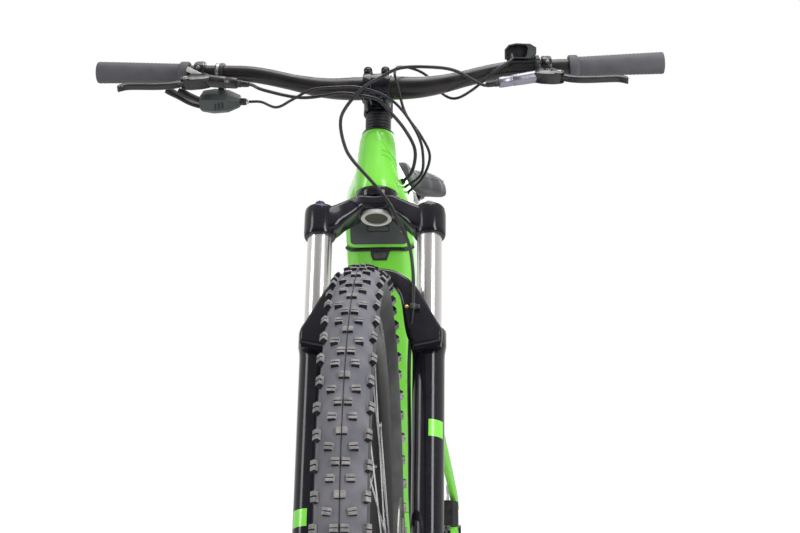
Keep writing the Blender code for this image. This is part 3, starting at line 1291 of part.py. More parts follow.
def build_derailleur(root):
    hang = REAR_AXLE + Vector((HANGER_FACE - FIT, 0.012, -0.030))
    knuckle = along_x(turned([(0.0115, -0.016), (0.0125, -0.014), (0.0125, 0)], 12))
    body = piece("derailleur_body", moved(knuckle, Matrix.Translation(hang)), root, "anodised_black")
    outer = CHAIN_LINE - 0.0068
    foot = GUIDE_PULLEY + Vector((outer, 0, 0))
    link = swept([(hang + Vector((-0.008, 0, 0)), rounded_box(0.0050, 0.0105, 0.003, 1)),
                  (hang.lerp(foot, 0.5) + Vector((-0.011, 0.008, 0)),
                   rounded_box(0.0055, 0.0120, 0.003, 1)),
                  (foot + Vector((-0.009, 0, 0)), rounded_box(0.0050, 0.0105, 0.003, 1))])
    join(body, link, "link")
    join(body, moved(along_x(turned([(0.0130, -0.017), (0.0140, -0.015), (0.0140, 0)], 12)),
                     Matrix.Translation(foot)), "foot")
    cage = anchor("cage_axis", GUIDE_PULLEY, parent=root)
    reach = TENSION_PULLEY - GUIDE_PULLEY
    bearing = math.degrees(math.atan2(reach.z, reach.y))
    outline = [*arc((0, 0), 0.0105, bearing + 90, bearing + 270, 6),
               *arc((reach.y, reach.z), 0.0095, bearing - 90, bearing + 90, 6)]
    near = CHAIN_LINE - 0.0050
    plates = piece("derailleur_cage", side_plate(outline, near - 0.0015, near), cage, "black_plastic")
    for label, spot in (("guide_pin", Vector((0, 0, 0))), ("tension_pin", reach)):
        pin = along_x(turned([(0.0030, near - 0.001), (0.0030, CHAIN_LINE + 0.0060)], 12))
        join(plates, moved(pin, Matrix.Translation(spot)), label)
    join(plates, side_plate(outline, CHAIN_LINE + 0.0050, CHAIN_LINE + 0.0065), "inner_plate")
    for name, spot in (("guide_pulley", Vector((0, 0, 0))), ("tension_pulley", reach)):
        wheel = anchor(f"{name}_axis", spot, parent=cage)
        disc = loft([[(px, y, z) for y, z in toothed(PULLEY_TEETH, 0.0030)]
                     for px in (CHAIN_LINE - 0.0018, CHAIN_LINE + 0.0018)])
        pulley = piece(name, disc, wheel, "black_plastic")
        hole = clear_bore(0.0030, 12, RUNNING_FIT)
        cut(pulley, along_x(turned([(hole, -0.08), (hole, -0.02)], 12)), "bore")


def build_rear_brake(root):
    build_caliper("rear_caliper", root, rear_caliper_place())
    build_axle("rear_axle", REAR_AXLE_RADIUS, DROPOUT_X + FIT + DROPOUT_THICKNESS, root, REAR_AXLE)


# Saddle and post


def build_post(root):
    slide = anchor("post_line", SEAT @ Vector((0, 0, SEAT_TUBE_LENGTH)), SEAT.to_3x3(), root)
    low = POST_TOP - POST_LENGTH - SEAT_TUBE_LENGTH
    high = POST_TOP - SEAT_TUBE_LENGTH
    tube = turned([(SEATPOST_RADIUS, low), (SEATPOST_RADIUS, high - 0.012)], POST_SIDES)
    post = piece("seatpost", tube, slide, "gloss_black")
    level = slide.matrix_basis.to_3x3().inverted().to_4x4()
    head = Matrix.Translation((0, 0, high)) @ level
    clamp = loft([[(x, y, z) for y, z in rounded_box(0.0190, 0.0105, 0.004, 1)] for x in (-0.029, 0.029)])
    join(post, moved(clamp, head), "rail_clamp")
    join(post, turned([(SEATPOST_RADIUS, high - 0.040), (0.0150, high)], POST_SIDES), "neck")
    for side, word in ((1, "left"), (-1, "right")):
        hole = clear_bore(RAIL_RADIUS, 6)
        groove = rod((RAIL_SPACING / 2 * side, -0.04, 0), (RAIL_SPACING / 2 * side, 0.04, 0), hole, 6)
        cut(post, moved(groove, head), f"{word}_groove")
    build_saddle(slide, Matrix.Translation((0, 0, high)) @ level)


def saddle_section(half, base, top, drop):
    """From the middle of the underside round one side to the top, as (x, z)."""
    right = [(half * 0.55, base), (half * 0.90, base - drop * 0.6), (half, base - drop * 0.5),
             (half * 0.99, base + (top - base) * 0.35), (half * 0.82, base + (top - base) * 0.80),
             (half * 0.45, top - 0.0005)]
    return [*right, (0, top - 0.0015), *[(-x, z) for x, z in reversed(right)]]


def build_saddle(slide, place):
    """Pad on a shell; heights and lengths are from the rail clamp."""
    stations = ((-0.121, 0.012, 0.036, 0.001), (-0.113, 0.019, 0.044, 0.003),
                (-0.085, 0.021, 0.048, 0.004),
                (-0.040, 0.0225, 0.049, 0.004), (0.005, 0.031, 0.050, 0.004),
                (0.045, 0.049, 0.052, 0.006),
                (0.085, 0.066, 0.056, 0.008), (0.115, SADDLE_WIDTH / 2, 0.058, 0.009),
                (0.135, 0.068, 0.057, 0.006),
                (0.146, 0.054, 0.050, 0.002))
    base = 0.020
    pad = loft([[(x, y, z) for x, z in saddle_section(half, base, top, drop)] for y, half, top,
                drop in stations])
    piece("saddle_pad", moved(pad, place), slide, "saddle_cover")
    under = []
    for y, half, _, drop in stations[1:-1]:
        inner = half * 0.50
        under.append([(inner, y, base - FIT), (-inner, y, base - FIT), (-half * 0.42, y, base - 0.007),
                      (half * 0.42, y, base - 0.007)])
    shell = piece("saddle_shell", moved(loft(under), place), slide, "black_plastic")
    for side, word in ((1, "left"), (-1, "right")):
        x = RAIL_SPACING / 2 * side
        way = [(0.006 * side, -0.100, base - 0.004), (0.012 * side, -0.085, 0.007), (x, -0.060, 0),
               (x, 0.0, 0),
               (x, 0.055, 0), (x * 1.10, 0.080, 0.006), (x * 1.15, 0.105, base - 0.004)]
        rings = [(point, circle(RAIL_RADIUS, 6)) for point in way]
        join(shell, moved(swept(rings), place), f"{word}_rail")


def build_seat_clamp(root):
    low = SEAT_TUBE_LENGTH - 0.017
    high = SEAT_TUBE_LENGTH - 0.001
    inner = clear_bore(SEAT_TUBE_RADIUS, POST_SIDES)
    band = collar(inner, inner + 0.0038, low, high, POST_SIDES)
    clamp = piece("seat_clamp", moved(band, SEAT), root, "anodised_black")
    lug_y = SEAT_TUBE_RADIUS + 0.009
    lug = box((-0.0085, SEAT_TUBE_RADIUS + 0.0015, low + 0.001), (0.0080, lug_y + 0.006, high - 0.001))
    join(clamp, moved(lug, SEAT), "lug")
    pin = turned([(0.0025, low - 0.004), (0.0025, high + 0.004)], 10)
    spot = Matrix.Translation((0.0145, lug_y, 0))
    ear = [(0.004, low - 0.0045), (0.018, low - 0.0045), (0.018, low - 0.0005), (0.0085, low - 0.0005),
           (0.0085, high + 0.0005), (0.018, high + 0.0005), (0.018, high + 0.0045),
           (0.004, high + 0.0045)]
    join(clamp, moved(loft([[(x, lug_y + y, z) for x, z in ear] for y in (-0.0035, 0.0035)]), SEAT),
         "ears")
    join(clamp, moved(moved(pin, spot), SEAT), "pin")
    carrier = anchor("clamp_lever_axis", SEAT @ Vector((0.0145, lug_y, 0)), SEAT.to_3x3(), root)
    lever = piece("seat_clamp_lever", turned([(0.0050, low), (0.0050, high)], 14), carrier,
                  "anodised_black")
    tall = (high - low) / 2 - 0.003
    middle = (high + low) / 2
    way = ((0.0, 0.0, 0.0028), (0.0085, -0.010, 0.0026), (0.0125, -0.028, 0.0022),
           (0.0095, -0.046, 0.0026))
    arm = [((x, y, middle), rounded_box(half, tall, 0.001, 1)) for x, y, half in way]
    join(lever, swept(arm, Vector((1, 0, 0))), "arm")
    bore = clear_bore(0.0025, 10, RUNNING_FIT)
    cut(lever, turned([(bore, low - 0.01), (bore, high + 0.01)], 10), "bore")


# Hoses and cables


def steer_points(points):
    return [STEER @ Vector(point) for point in points]


def cylinder_mouth(side):
    """Where the hose leaves the brake cylinder, and a point a little way along it."""
    place = control_frame(side)
    far = Vector((*CYLINDER_END, 0))
    way = (far - Vector((0.004, -0.0225, 0))).normalized()
    spots = (far + way * FIT, far + way * 0.020)
    return [place @ Vector((spot.x * side, spot.y, 0)) for spot in spots]


def build_hoses(steering):
    """They leave the controls, meet in front of the stem and part again."""
    world = steering.matrix_basis.inverted()
    upper = [(0.107, -0.350, 1.021), (0.073, -0.356, 1.0255), (0.034, -0.360, 1.024),
             (0.008, -0.364, 1.011),
             (-0.017, -0.369, 0.995), (-0.040, -0.372, 0.967), (-0.045, -0.378, 0.946),
             (-0.039, -0.388, 0.917),
             (-0.028, -0.396, 0.896), (0.002, -0.408, 0.861), (0.022, -0.412, 0.834),
             (0.035, -0.410, 0.802),
             (0.0465, -0.404, 0.770)]
    lower = [(0.0485, -0.014, -0.120), (0.0480, -0.006, -0.170), (0.0480, 0.004, -0.230),
             (0.0480, 0.010, -0.330),
             (0.0490, 0.014, -0.410)]
    place = STEER @ front_caliper_place()
    inlet = [place @ Vector((0.0085, -CALIPER_LENGTH - lead, 0.004)) for lead in (0.018, FIT)]
    route = [*cylinder_mouth(1), *[Vector(p) for p in upper], *steer_points(lower), *inlet]
    cable("front_brake_hose", [world @ p for p in route], HOSE_RADIUS, steering)
    rear = [(-0.150, -0.349, 0.999), (-0.100, -0.344, 0.989), (-0.047, -0.352, 0.9925),
            (-0.019, -0.357, 0.988),
            (0.004, -0.357, 0.982), (0.020, -0.355, 0.9655), (0.0392, -0.350, 0.942),
            (0.0519, -0.342, 0.916),
            (0.0480, -0.330, 0.891), (0.0375, -0.317, 0.880)]
    cable("rear_brake_hose", [world @ p for p in [*cylinder_mouth(-1), *[Vector(p) for p in rear]]],
          HOSE_RADIUS,
          steering)
    barrel = [control_frame(-1) @ Vector((x, -0.014, -0.0355)) for x in (0.0673, 0.084)]
    shift = [(-0.135, -0.335, 0.978), (-0.112, -0.352, 0.985), (-0.085, -0.3555, 0.9975),
             (-0.047, -0.360, 0.9995), (-0.019, -0.3635, 0.9975),
             (0.0135, -0.362, 0.986), (0.036, -0.360, 0.967), (0.0566, -0.352, 0.9345),
             (0.0626, -0.342, 0.909),
             (0.0590, -0.326, 0.885), (0.0370, -0.308, 0.871)]
    cable("shift_cable", [world @ p for p in [*barrel, *[Vector(p) for p in shift]]], CABLE_RADIUS,
          steering)
    outlet = [control_frame(1) @ Vector((-0.0475, y, 0.0215)) for y in (-0.0036, -0.016)]
    remote = [(0.157, -0.336, 1.020), (0.130, -0.334, 0.998), (0.105, -0.318, 0.989),
              (0.084, -0.297, 1.003),
              (0.066, -0.295, 1.026), (0.045, -0.310, 1.0335), (0.0285, -0.334, 1.030),
              (0.0258, -0.3475, 1.018),
              (0.0300, -0.3495, 1.002), (0.0393, -0.347, 0.966), (0.0600, -0.342, 0.935),
              (0.0715, -0.335, 0.909),
              (0.0620, -0.316, 0.884), (0.0435, -0.302, 0.867)]
    cable("remote_cable", [world @ p for p in [*outlet, *[Vector(p) for p in remote]]], CABLE_RADIUS,
          steering)


# Assembly


def main():
    clear_scene()
    root = anchor("bike")
    build_frame(root)
    build_down_tube_cap(root)
    build_motor(root)
    build_battery(root)
    build_headset(root)
    build_seat_clamp(root)
    build_post(root)
    steering = anchor("steering_axis", CROWN_RACE, STEER.to_3x3(), root)
    build_crown(steering)
    build_stanchions(steering)
    build_lockout_dial(steering)
    build_spacers(steering)
    build_stem(steering)
    build_faceplate(steering)
    lowers = anchor("fork_travel", parent=steering)
    build_lowers(lowers)
    build_caliper("front_caliper", lowers, front_caliper_place())
    build_axle("front_axle", AXLE_RADIUS, FRONT_SPACING / 2 + 0.016, lowers,
               (0, -FORK_OFFSET, -FORK_LENGTH))
    handlebar = anchor("bar_frame", parent=root)
    build_bar(handlebar)
    build_grips(handlebar)
    for side in (1, -1):
        build_brake_body(side, handlebar)
        build_brake_lever(side, handlebar)
    build_shifter(handlebar)
    build_remote(handlebar)
    build_hoses(steering)
    build_wheel("front", FRONT_AXLE, FRONT_SPACING, (0.028, -0.028), AXLE_RADIUS, 0.0120, root)
    build_wheel("rear", REAR_AXLE, REAR_SPACING, (0.033, -0.022), REAR_AXLE_RADIUS, FREEHUB_RADIUS, root)
    build_rear_brake(root)
    build_cassette(root)
    build_cranks(root)
    build_derailleur(root)
    build_chain(root)


main()
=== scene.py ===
"""Looks of the electric mountain bike: materials, smooth forms, tread, cords, saddle, lights and camera."""

import math

import bpy
from mathutils import Matrix, Vector


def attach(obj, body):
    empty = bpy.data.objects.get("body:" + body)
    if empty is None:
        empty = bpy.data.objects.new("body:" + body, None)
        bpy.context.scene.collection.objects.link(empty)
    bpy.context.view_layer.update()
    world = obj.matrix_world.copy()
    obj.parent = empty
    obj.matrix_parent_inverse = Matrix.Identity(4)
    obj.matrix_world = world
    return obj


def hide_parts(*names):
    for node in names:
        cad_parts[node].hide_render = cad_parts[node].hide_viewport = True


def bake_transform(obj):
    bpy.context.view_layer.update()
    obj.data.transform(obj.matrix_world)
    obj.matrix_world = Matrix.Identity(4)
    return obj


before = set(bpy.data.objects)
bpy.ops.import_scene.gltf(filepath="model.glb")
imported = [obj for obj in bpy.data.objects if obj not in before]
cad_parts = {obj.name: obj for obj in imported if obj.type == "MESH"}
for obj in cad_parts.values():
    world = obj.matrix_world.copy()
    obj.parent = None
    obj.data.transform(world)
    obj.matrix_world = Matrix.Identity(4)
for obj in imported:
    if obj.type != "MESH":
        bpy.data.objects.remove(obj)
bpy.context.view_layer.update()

# Places and sizes, as the CAD has them

WHEEL_RADIUS = 0.37
REAR_AXLE = Vector((0, 0.585, WHEEL_RADIUS))
FRONT_AXLE = Vector((0, -0.585, WHEEL_RADIUS))
HEAD_ANGLE = math.radians(68)
SEAT_ANGLE = math.radians(74)
FORK_LENGTH = 0.53
FORK_OFFSET = 0.048
CHAINSTAY = 0.47
CRANK_DROP = 0.055
CRANK_AXIS = REAR_AXLE + Vector((0, -math.sqrt(CHAINSTAY**2 - CRANK_DROP**2), -CRANK_DROP))
STEER_UP = Vector((0, math.cos(HEAD_ANGLE), math.sin(HEAD_ANGLE)))
STEER_FORWARD = Vector((0, -math.sin(HEAD_ANGLE), math.cos(HEAD_ANGLE)))
CROWN_RACE = FRONT_AXLE + STEER_UP * FORK_LENGTH - STEER_FORWARD * FORK_OFFSET
MOTOR_AXIS = CRANK_AXIS + Vector((0, -0.055, 0.012))
DOWN_TOP = CROWN_RACE + STEER_UP * 0.06
DOWN_FOOT = CRANK_AXIS + Vector((0, -0.083, 0.08))
DOWN_SECTION = (0.046, 0.039, 0.017)
DOWN_LENGTH = (DOWN_FOOT - DOWN_TOP).length
DOWN_WAY = (DOWN_FOOT - DOWN_TOP).normalized()
DOWN_OUT = DOWN_WAY.cross(Vector((1, 0, 0)))
STEER = Matrix.Translation(CROWN_RACE) @ Matrix.Rotation(HEAD_ANGLE - math.pi / 2, 4, "X")
AHEAD = STEER.to_3x3() @ Vector((0, -1, 0))
SEAT = Matrix.Translation(CRANK_AXIS) @ Matrix.Rotation(SEAT_ANGLE - math.pi / 2, 4, "X")
DOWN = Matrix.Translation(DOWN_TOP) @ Matrix(((1, 0, 0), DOWN_OUT, DOWN_WAY)).transposed().to_4x4()
HEAD_BOTTOM = 0.013
HEAD_TOP = 0.105
STEM_MIDDLE = 0.1574
STEM_LENGTH = 0.04
SEAL_TOP = -0.197
CROWN_OFFSET = 0.02
LEG_X = 0.0722
DIAL_X = 0.0735
STANCHION = 0.0162
CROWN_TOP = -0.012
SEAT_TUBE_LENGTH = 0.455
POST_TOP = 0.642
GUIDE_PULLEY = REAR_AXLE + Vector((0, 0.012, -0.101))
TENSION_PULLEY = GUIDE_PULLEY + Vector((0, -0.028, -0.083))
FIRST_COG = -0.035
COG_PITCH = 0.00435
COG_TEETH = (36, 32, 28, 24, 21, 18, 15, 13, 11)
CHAIN_COG = 3
CHAIN_LINE = FIRST_COG - CHAIN_COG * COG_PITCH
CHAIN_PITCH = 0.0127
CHAINRING_TEETH = 38
PULLEY_TEETH = 11
CRANK_LENGTH = 0.17
BAR_HALF = 0.39
CONTROL_X = {1: 0.229, -1: 0.243}
PADDLE_PIN = (-0.008, -0.012)
LEVER_DROP = math.radians(32)
CYLINDER_END = {1: Vector((-0.07, -0.0375, -0.004)), -1: Vector((-0.06, -0.036, 0))}
LEVER_PIVOT = (0.013, -0.035)
BAR_BORE = 0.0113
TOP_TUBE = (STEER @ Vector((0, 0, 0.08)), SEAT @ Vector((0, 0, SEAT_TUBE_LENGTH - 0.053)))
HANGER = REAR_AXLE + Vector((0, 0.012, -0.03))
MOTOR_HALF = 0.0385
HOSE_RADIUS = 0.0023
CABLE_RADIUS = 0.0019
POD_HEIGHTS = (-0.05, -0.021)
CABLE_EXIT = (-0.014, sum(POD_HEIGHTS) / 2)
REMOTE_EXIT = (-0.0475, -0.0036, 0.0215)

# The chain's pins run this far outside a sprocket's pitch circle, and its teeth end as far inside

CHAIN_LIFT = 0.0022

SIDES = ((1, "left"), (-1, "right"))

# An outline drawn as (y, z) and raised along X, and one drawn as (x, z) and raised along Y

FLAT = Matrix(((0, 0, 1, 0), (1, 0, 0, 0), (0, 1, 0, 0), (0, 0, 0, 1)))
STAND = Matrix(((1, 0, 0, 0), (0, 0, 1, 0), (0, 1, 0, 0), (0, 0, 0, 1)))


# Materials

def added(tree, kind, values=None, links=None, **settings):
    """A new shader node with its settings, its input values and the outputs that feed its inputs."""
    node = tree.nodes.new("ShaderNode" + kind)
    for name, value in settings.items():
        setattr(node, name, value)
    for name, value in (values or {}).items():
        node.inputs[name].default_value = value
    for name, output in (links or {}).items():
        tree.links.new(output, node.inputs[name])
    return node


def surface(name, colour, rough, metal=0.0, tint=None, share=0.5, patch=25, grain=900, bump=0.1,
        depth=0.0001, coat=0.0, stretch=(1, 1, 1), spread=0.08, sheen=0.0, shine=0.5):
    """A finish with soft patches of a second colour, uneven gloss and a fine grain."""
    mat = bpy.data.materials.new(name)
    mat.use_nodes = True
    tree = mat.node_tree
    second = tint or [c * 0.8 for c in colour]
    place = added(tree, "TexCoord")
    scale = added(tree, "Mapping", {"Scale": stretch}, {"Vector": place.outputs["Object"]})
    cloud = added(tree, "TexNoise", {"Scale": patch, "Detail": 6}, {"Vector": scale.outputs["Vector"]})
    span = added(tree, "MapRange", {"From Min": 0.35, "From Max": 0.7, "To Max": share},
            {"Value": cloud.outputs["Fac"]})
    mix = added(tree, "Mix", {"A": (*colour, 1), "B": (*second, 1)}, {"Factor": span.outputs["Result"]},
            data_type="RGBA")
    gloss = added(tree, "MapRange", {"From Min": 0.3, "From Max": 0.7, "To Min": max(rough - spread, 0.02),
            "To Max": rough + spread}, {"Value": cloud.outputs["Fac"]})
    fine = added(tree, "TexNoise", {"Scale": grain, "Detail": 3}, {"Vector": scale.outputs["Vector"]})
    relief = added(tree, "Bump", {"Strength": bump, "Distance": depth}, {"Height": fine.outputs["Fac"]})
    shader = tree.nodes["Principled BSDF"]
    for socket, value in (("Metallic", metal), ("Specular IOR Level", shine), ("Coat Weight", coat),
            ("Coat Roughness", 0.05), ("Sheen Weight", sheen)):
        shader.inputs[socket].default_value = value
    for socket, output in (("Base Color", mix.outputs["Result"]), ("Roughness", gloss.outputs["Result"]),
            ("Normal", relief.outputs["Normal"])):
        tree.links.new(output, shader.inputs[socket])
    return mat


GREEN = surface("green", (0.185, 0.645, 0.05), 0.3, tint=(0.145, 0.58, 0.042), share=0.6, patch=9,
        grain=2500, bump=0.05, coat=0.6)
DARK_GREEN = surface("dark_green", (0.1, 0.48, 0.03), 0.3, patch=9, grain=2500, bump=0.05, coat=0.6)
GLOSS_BLACK = surface("gloss", (0.006, 0.006, 0.009), 0.15, tint=(0.011, 0.011, 0.017), patch=60,
        grain=1800, bump=0.03, coat=0.2, spread=0.05, shine=0.25)
ANODISED = surface("anodised", (0.0095, 0.0085, 0.0095), 0.3, tint=(0.021, 0.015, 0.012), patch=40,
        shine=0.35)
SHELL_BLACK = surface("plastic", (0.012, 0.012, 0.014), 0.42, tint=(0.024, 0.024, 0.026), patch=70,
        grain=1500, bump=0.25, shine=0.35)
SHELL_GREY = surface("grey_shell", (0.042, 0.049, 0.049), 0.4, tint=(0.062, 0.068, 0.066), patch=60,
        grain=1500, bump=0.2, shine=0.4)
GRIP_RUBBER = surface("grip", (0.06, 0.06, 0.068), 0.62, tint=(0.105, 0.1, 0.115), patch=45, grain=700,
        bump=0.5, depth=0.0002, shine=0.35)
TREAD = surface("tread", (0.108, 0.109, 0.128), 0.82, tint=(0.205, 0.198, 0.215), share=0.8, patch=24,
        grain=420, bump=0.6, depth=0.0004, shine=0.3)
DUSTY = surface("dusty_knob", (0.15, 0.146, 0.148), 0.86, tint=(0.34, 0.325, 0.315), share=0.95, patch=110,
        grain=600, bump=0.7, depth=0.0004, shine=0.3)
# Painted shade on each tread block's forward face, and the dark rubber of the tread seam
SHADE_AND_SEAM_RUBBER = surface("shade_and_seam_rubber", (0.012, 0.011, 0.018), 0.8, tint=(0.035, 0.032, 0.045), patch=90,
        grain=600, bump=0.4, depth=0.0003, shine=0.15)
SIDEWALL = surface("sidewall", (0.04, 0.043, 0.043), 0.75, tint=(0.085, 0.085, 0.082), share=0.8, patch=35,
        grain=500, bump=0.4, depth=0.0003, shine=0.3)
CHROME = surface("polished", (0.66, 0.645, 0.635), 0.26, metal=1.0, tint=(0.6, 0.59, 0.585), patch=15,
        bump=0.0, stretch=(1, 1, 0.15), spread=0.03)
SILVER = surface("silver", (0.55, 0.55, 0.56), 0.28, metal=1.0, patch=60, bump=0.1)
MACHINED = surface("machined", (0.6, 0.59, 0.56), 0.45, tint=(0.5, 0.49, 0.47), patch=60, bump=0.1)
STEEL = surface("worn_steel", (0.36, 0.35, 0.34), 0.35, metal=1.0, tint=(0.22, 0.2, 0.18), share=0.8,
        patch=80, bump=0.2)
# Painted light: a lighter grey given only to the left brake cylinder, on the brightly lit side; the right
# one is black
LIT_BRAKE_GREY = surface("brake_grey", (0.23, 0.227, 0.265), 0.3, metal=0.75, tint=(0.19, 0.187, 0.22),
        patch=30, bump=0.0, spread=0.03)
BRAKE_BLACK = surface("brake_black", (0.01, 0.01, 0.012), 0.28, tint=(0.026, 0.025, 0.027), patch=80,
        grain=1500, bump=0.1, coat=0.15, shine=0.4)
BRASS = surface("brass", (0.62, 0.44, 0.16), 0.3, metal=1.0, patch=90)
PURPLE = surface("purple", (0.045, 0.035, 0.17), 0.3, metal=0.6, patch=90)
COVER = surface("saddle_cover", (0.036, 0.036, 0.041), 0.62, tint=(0.055, 0.055, 0.061), patch=50,
        grain=1100, bump=0.5, depth=0.0002, sheen=0.1, shine=0.35)
# Painted shade: a dark brown for hollows, through-holes and bolt sockets, standing in for the shade inside
# them
PAINTED_SHADE = surface("painted_shade_inside", (0.034, 0.03, 0.02), 0.6, tint=(0.05, 0.042, 0.03), patch=90)
HOSE_BLACK = surface("hose", (0.01, 0.01, 0.012), 0.34, tint=(0.022, 0.022, 0.024), patch=120, grain=1600,
        shine=0.4)
YELLOW = surface("yellow", (0.75, 0.55, 0.02), 0.5, patch=90)
WHITE = surface("white", (0.62, 0.62, 0.6), 0.5, patch=90)
AMBER = surface("reflector", (0.75, 0.3, 0.02), 0.25, patch=90, grain=900, bump=0.4, coat=0.4)


# Building shapes

class Shape:
    """Points and faces, gathered from closed forms."""

    def __init__(self):
        self.points = []
        self.faces = []
        self.kinds = []

    def add(self, points, faces, place=None, kind=0):
        """Takes in points and faces, moved to a place; a mirrored place turns the faces over."""
        base = len(self.points)
        for point in points:
            spot = Vector(point)
            self.points.append(place @ spot if place else spot)
        turned_over = place is not None and place.determinant() < 0
        for face in faces:
            face = [base + i for i in face]
            self.faces.append(face[::-1] if turned_over else face)
            self.kinds.append(kind)
        return self

    def loft(self, rings, place=None, closed=False, kind=0):
        """Skins rings of equal length; the ends are capped unless closed."""
        count = len(rings[0])
        points = [p for ring in rings for p in ring]
        faces = []
        last = len(rings) if closed else len(rings) - 1
        for r in range(last):
            a = r * count
            b = (r + 1) % len(rings) * count
            for i in range(count):
                j = (i + 1) % count
                faces.append((a + i, a + j, b + j, b + i))
        if not closed:
            faces.append(tuple(reversed(range(count))))
            faces.append(tuple(range((len(rings) - 1) * count, len(rings) * count)))
        vectors = [Vector(p) for p in points]
        volume = sum(vectors[f[0]].dot(vectors[f[k]].cross(vectors[f[k + 1]])) for f in faces
                for k in range(1, len(f) - 1))
        if volume < 0:
            faces = [f[::-1] for f in faces]
        return self.add(points, faces, place, kind)

    def turned(self, profile, place=None, sides=48, kind=0):
        """A solid of revolution about Z from (radius, height) points, capped flat."""
        return self.loft([[(r * math.cos(a), r * math.sin(a), z) for a in angles(sides)]
                for r, z in profile], place, kind=kind)

    def hoop(self, section, place=None, sides=64, kind=0):
        """A ring about Z with the closed (radius, height) section."""
        rings = [[(r * math.cos(a), r * math.sin(a), z) for r, z in section] for a in angles(sides)]
        return self.loft(rings, place, closed=True, kind=kind)

    def tube(self, points, radius, sides=12, place=None, kind=0):
        """A round bar along the points; radius may be one number for each."""
        rings = []
        lines = ways(points)
        across = lines[0].orthogonal()
        for i, (point, way) in enumerate(zip(points, lines)):
            across = (across - way * across.dot(way)).normalized()
            other = way.cross(across)
            r = radius[i] if isinstance(radius, (list, tuple)) else radius
            rings.append([Vector(point) + across * r * math.cos(a) + other * r * math.sin(a)
                    for a in angles(sides)])
        return self.loft(rings, place, kind=kind)

    def plate(self, outline, low, high, edge=0.0006, place=None, kind=0):
        """An outline raised from low to high along Z, with rounded edges."""
        rings = []
        for z, inset in ((low, edge), (low + edge * 0.3, edge * 0.3), (low + edge, 0), (high - edge, 0),
                (high - edge * 0.3, edge * 0.3), (high, edge)):
            rings.append([(x, y, z) for x, y in shrunk(outline, inset)])
        return self.loft(rings, place, kind=kind)

    def made(self, name, body, *finishes, replaces=(), slot=None, sharp=40):
        """The shape as a piece of the scene that rides on a body."""
        mesh = bpy.data.meshes.new(name)
        mesh.from_pydata(self.points, [], self.faces)
        for finish in finishes:
            mesh.materials.append(finish)
        for face, kind in zip(mesh.polygons, self.kinds):
            face.material_index = kind
            face.use_smooth = True
        mesh.set_sharp_from_angle(angle=math.radians(sharp))
        obj = bpy.data.objects.new(name, mesh)
        bpy.context.scene.collection.objects.link(obj)
        if body:
            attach(obj, body)
        if replaces:
            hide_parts(*replaces)
        return obj


def angles(sides):
    """Angles spread evenly round a circle."""
    return [2 * math.pi * i / sides for i in range(sides)]


def shrunk(outline, inset):
    """The outline moved inward by a small distance, with its points kept."""
    if not inset:
        return outline
    count = len(outline)
    area = sum(outline[i][0] * outline[(i + 1) % count][1] - outline[(i + 1) % count][0] * outline[i][1]
            for i in range(count))
    way = 1 if area > 0 else -1
    moved = []
    for i, (x, y) in enumerate(outline):
        before = Vector(outline[i - 1]) - Vector((x, y))
        after = Vector(outline[(i + 1) % count]) - Vector((x, y))
        if before.length < 1e-9 or after.length < 1e-9:
            moved.append((x, y))
            continue
        side = after.normalized() - before.normalized()
        normal = Vector((-side.y, side.x)) * way
        if normal.length < 1e-6:
            moved.append((x, y))
            continue
        normal.normalize()
        moved.append((x + normal.x * inset, y + normal.y * inset))
    return moved


def arc(centre, radius, start, end, steps):
    """Points on an arc between two bearings in degrees."""
    turns = [math.radians(start + (end - start) * i / steps) for i in range(steps + 1)]
    return [(centre[0] + radius * math.cos(a), centre[1] + radius * math.sin(a)) for a in turns]


def rounded(half_width, half_height, radius, steps=6):
    """A rectangle with round corners about the origin."""
    points = []
    for cx, cy, start in ((1, 1, 0), (-1, 1, 90), (-1, -1, 180), (1, -1, 270)):
        points += arc((cx * (half_width - radius), cy * (half_height - radius)), radius, start, start + 90,
                steps)
    return points


def oval(half_width, half_height, sides=32):
    """Points on an ellipse about the origin."""
    return [(half_width * math.cos(a), half_height * math.sin(a)) for a in angles(sides)]


def square(left, low, right, high):
    """The four corners of a rectangle."""
    return [(left, low), (right, low), (right, high), (left, high)]


def doubled(points):
    """A half outline and its mirror image, with the second number turned over."""
    return [*points, *[(a, -b) for a, b in reversed(points)]]


def between(a, b, c, d, t):
    """What lies at t on the smooth curve from b to c, for numbers or vectors."""
    return 0.5 * (2 * b + (c - a) * t + (2 * a - 5 * b + 4 * c - d) * t**2 + (3 * b - a - 3 * c + d) * t**3)


def curve(points, steps=8):
    """Points on a smooth curve through the given ones, whatever each number of a point stands for."""
    points = [tuple(p) for p in points]
    first = tuple(2 * a - b for a, b in zip(points[0], points[1]))
    last = tuple(2 * a - b for a, b in zip(points[-1], points[-2]))
    padded = [first, *points, last]
    out = []
    for corners in zip(padded, padded[1:], padded[2:], padded[3:]):
        for i in range(steps):
            out.append(tuple(between(*four, i / steps) for four in zip(*corners)))
    return [*out, points[-1]]


def ways(points):
    """The direction of a line at each of its points."""
    points = [Vector(p) for p in points]
    ends = zip(points[1:] + points[-1:], points[:1] + points[:-1])
    return [(ahead - behind).normalized() for ahead, behind in ends]


def swept_rings(stations, across=Vector((1, 0, 0))):
    """Rings of (point, section) stations, square to the way; sections lie along across and upright."""
    rings = []
    for (point, section), way in zip(stations, ways([point for point, _ in stations])):
        first = (across - way * across.dot(way)).normalized()
        second = way.cross(first)
        rings.append([Vector(point) + first * a + second * b for a, b in section])
    return rings


def level_rings(stations):
    """The same on a level line, with the sections sideways and upright."""
    rings = []
    for (point, section), way in zip(stations, ways([point for point, _ in stations])):
        side = Vector((-way.y, way.x, 0)).normalized()
        rings.append([Vector(point) + side * a + Vector((0, 0, b)) for a, b in section])
    return rings


def upright(side=1):
    """Turns Z to the X axis."""
    return Matrix.Rotation(math.pi / 2 * side, 4, "Y")


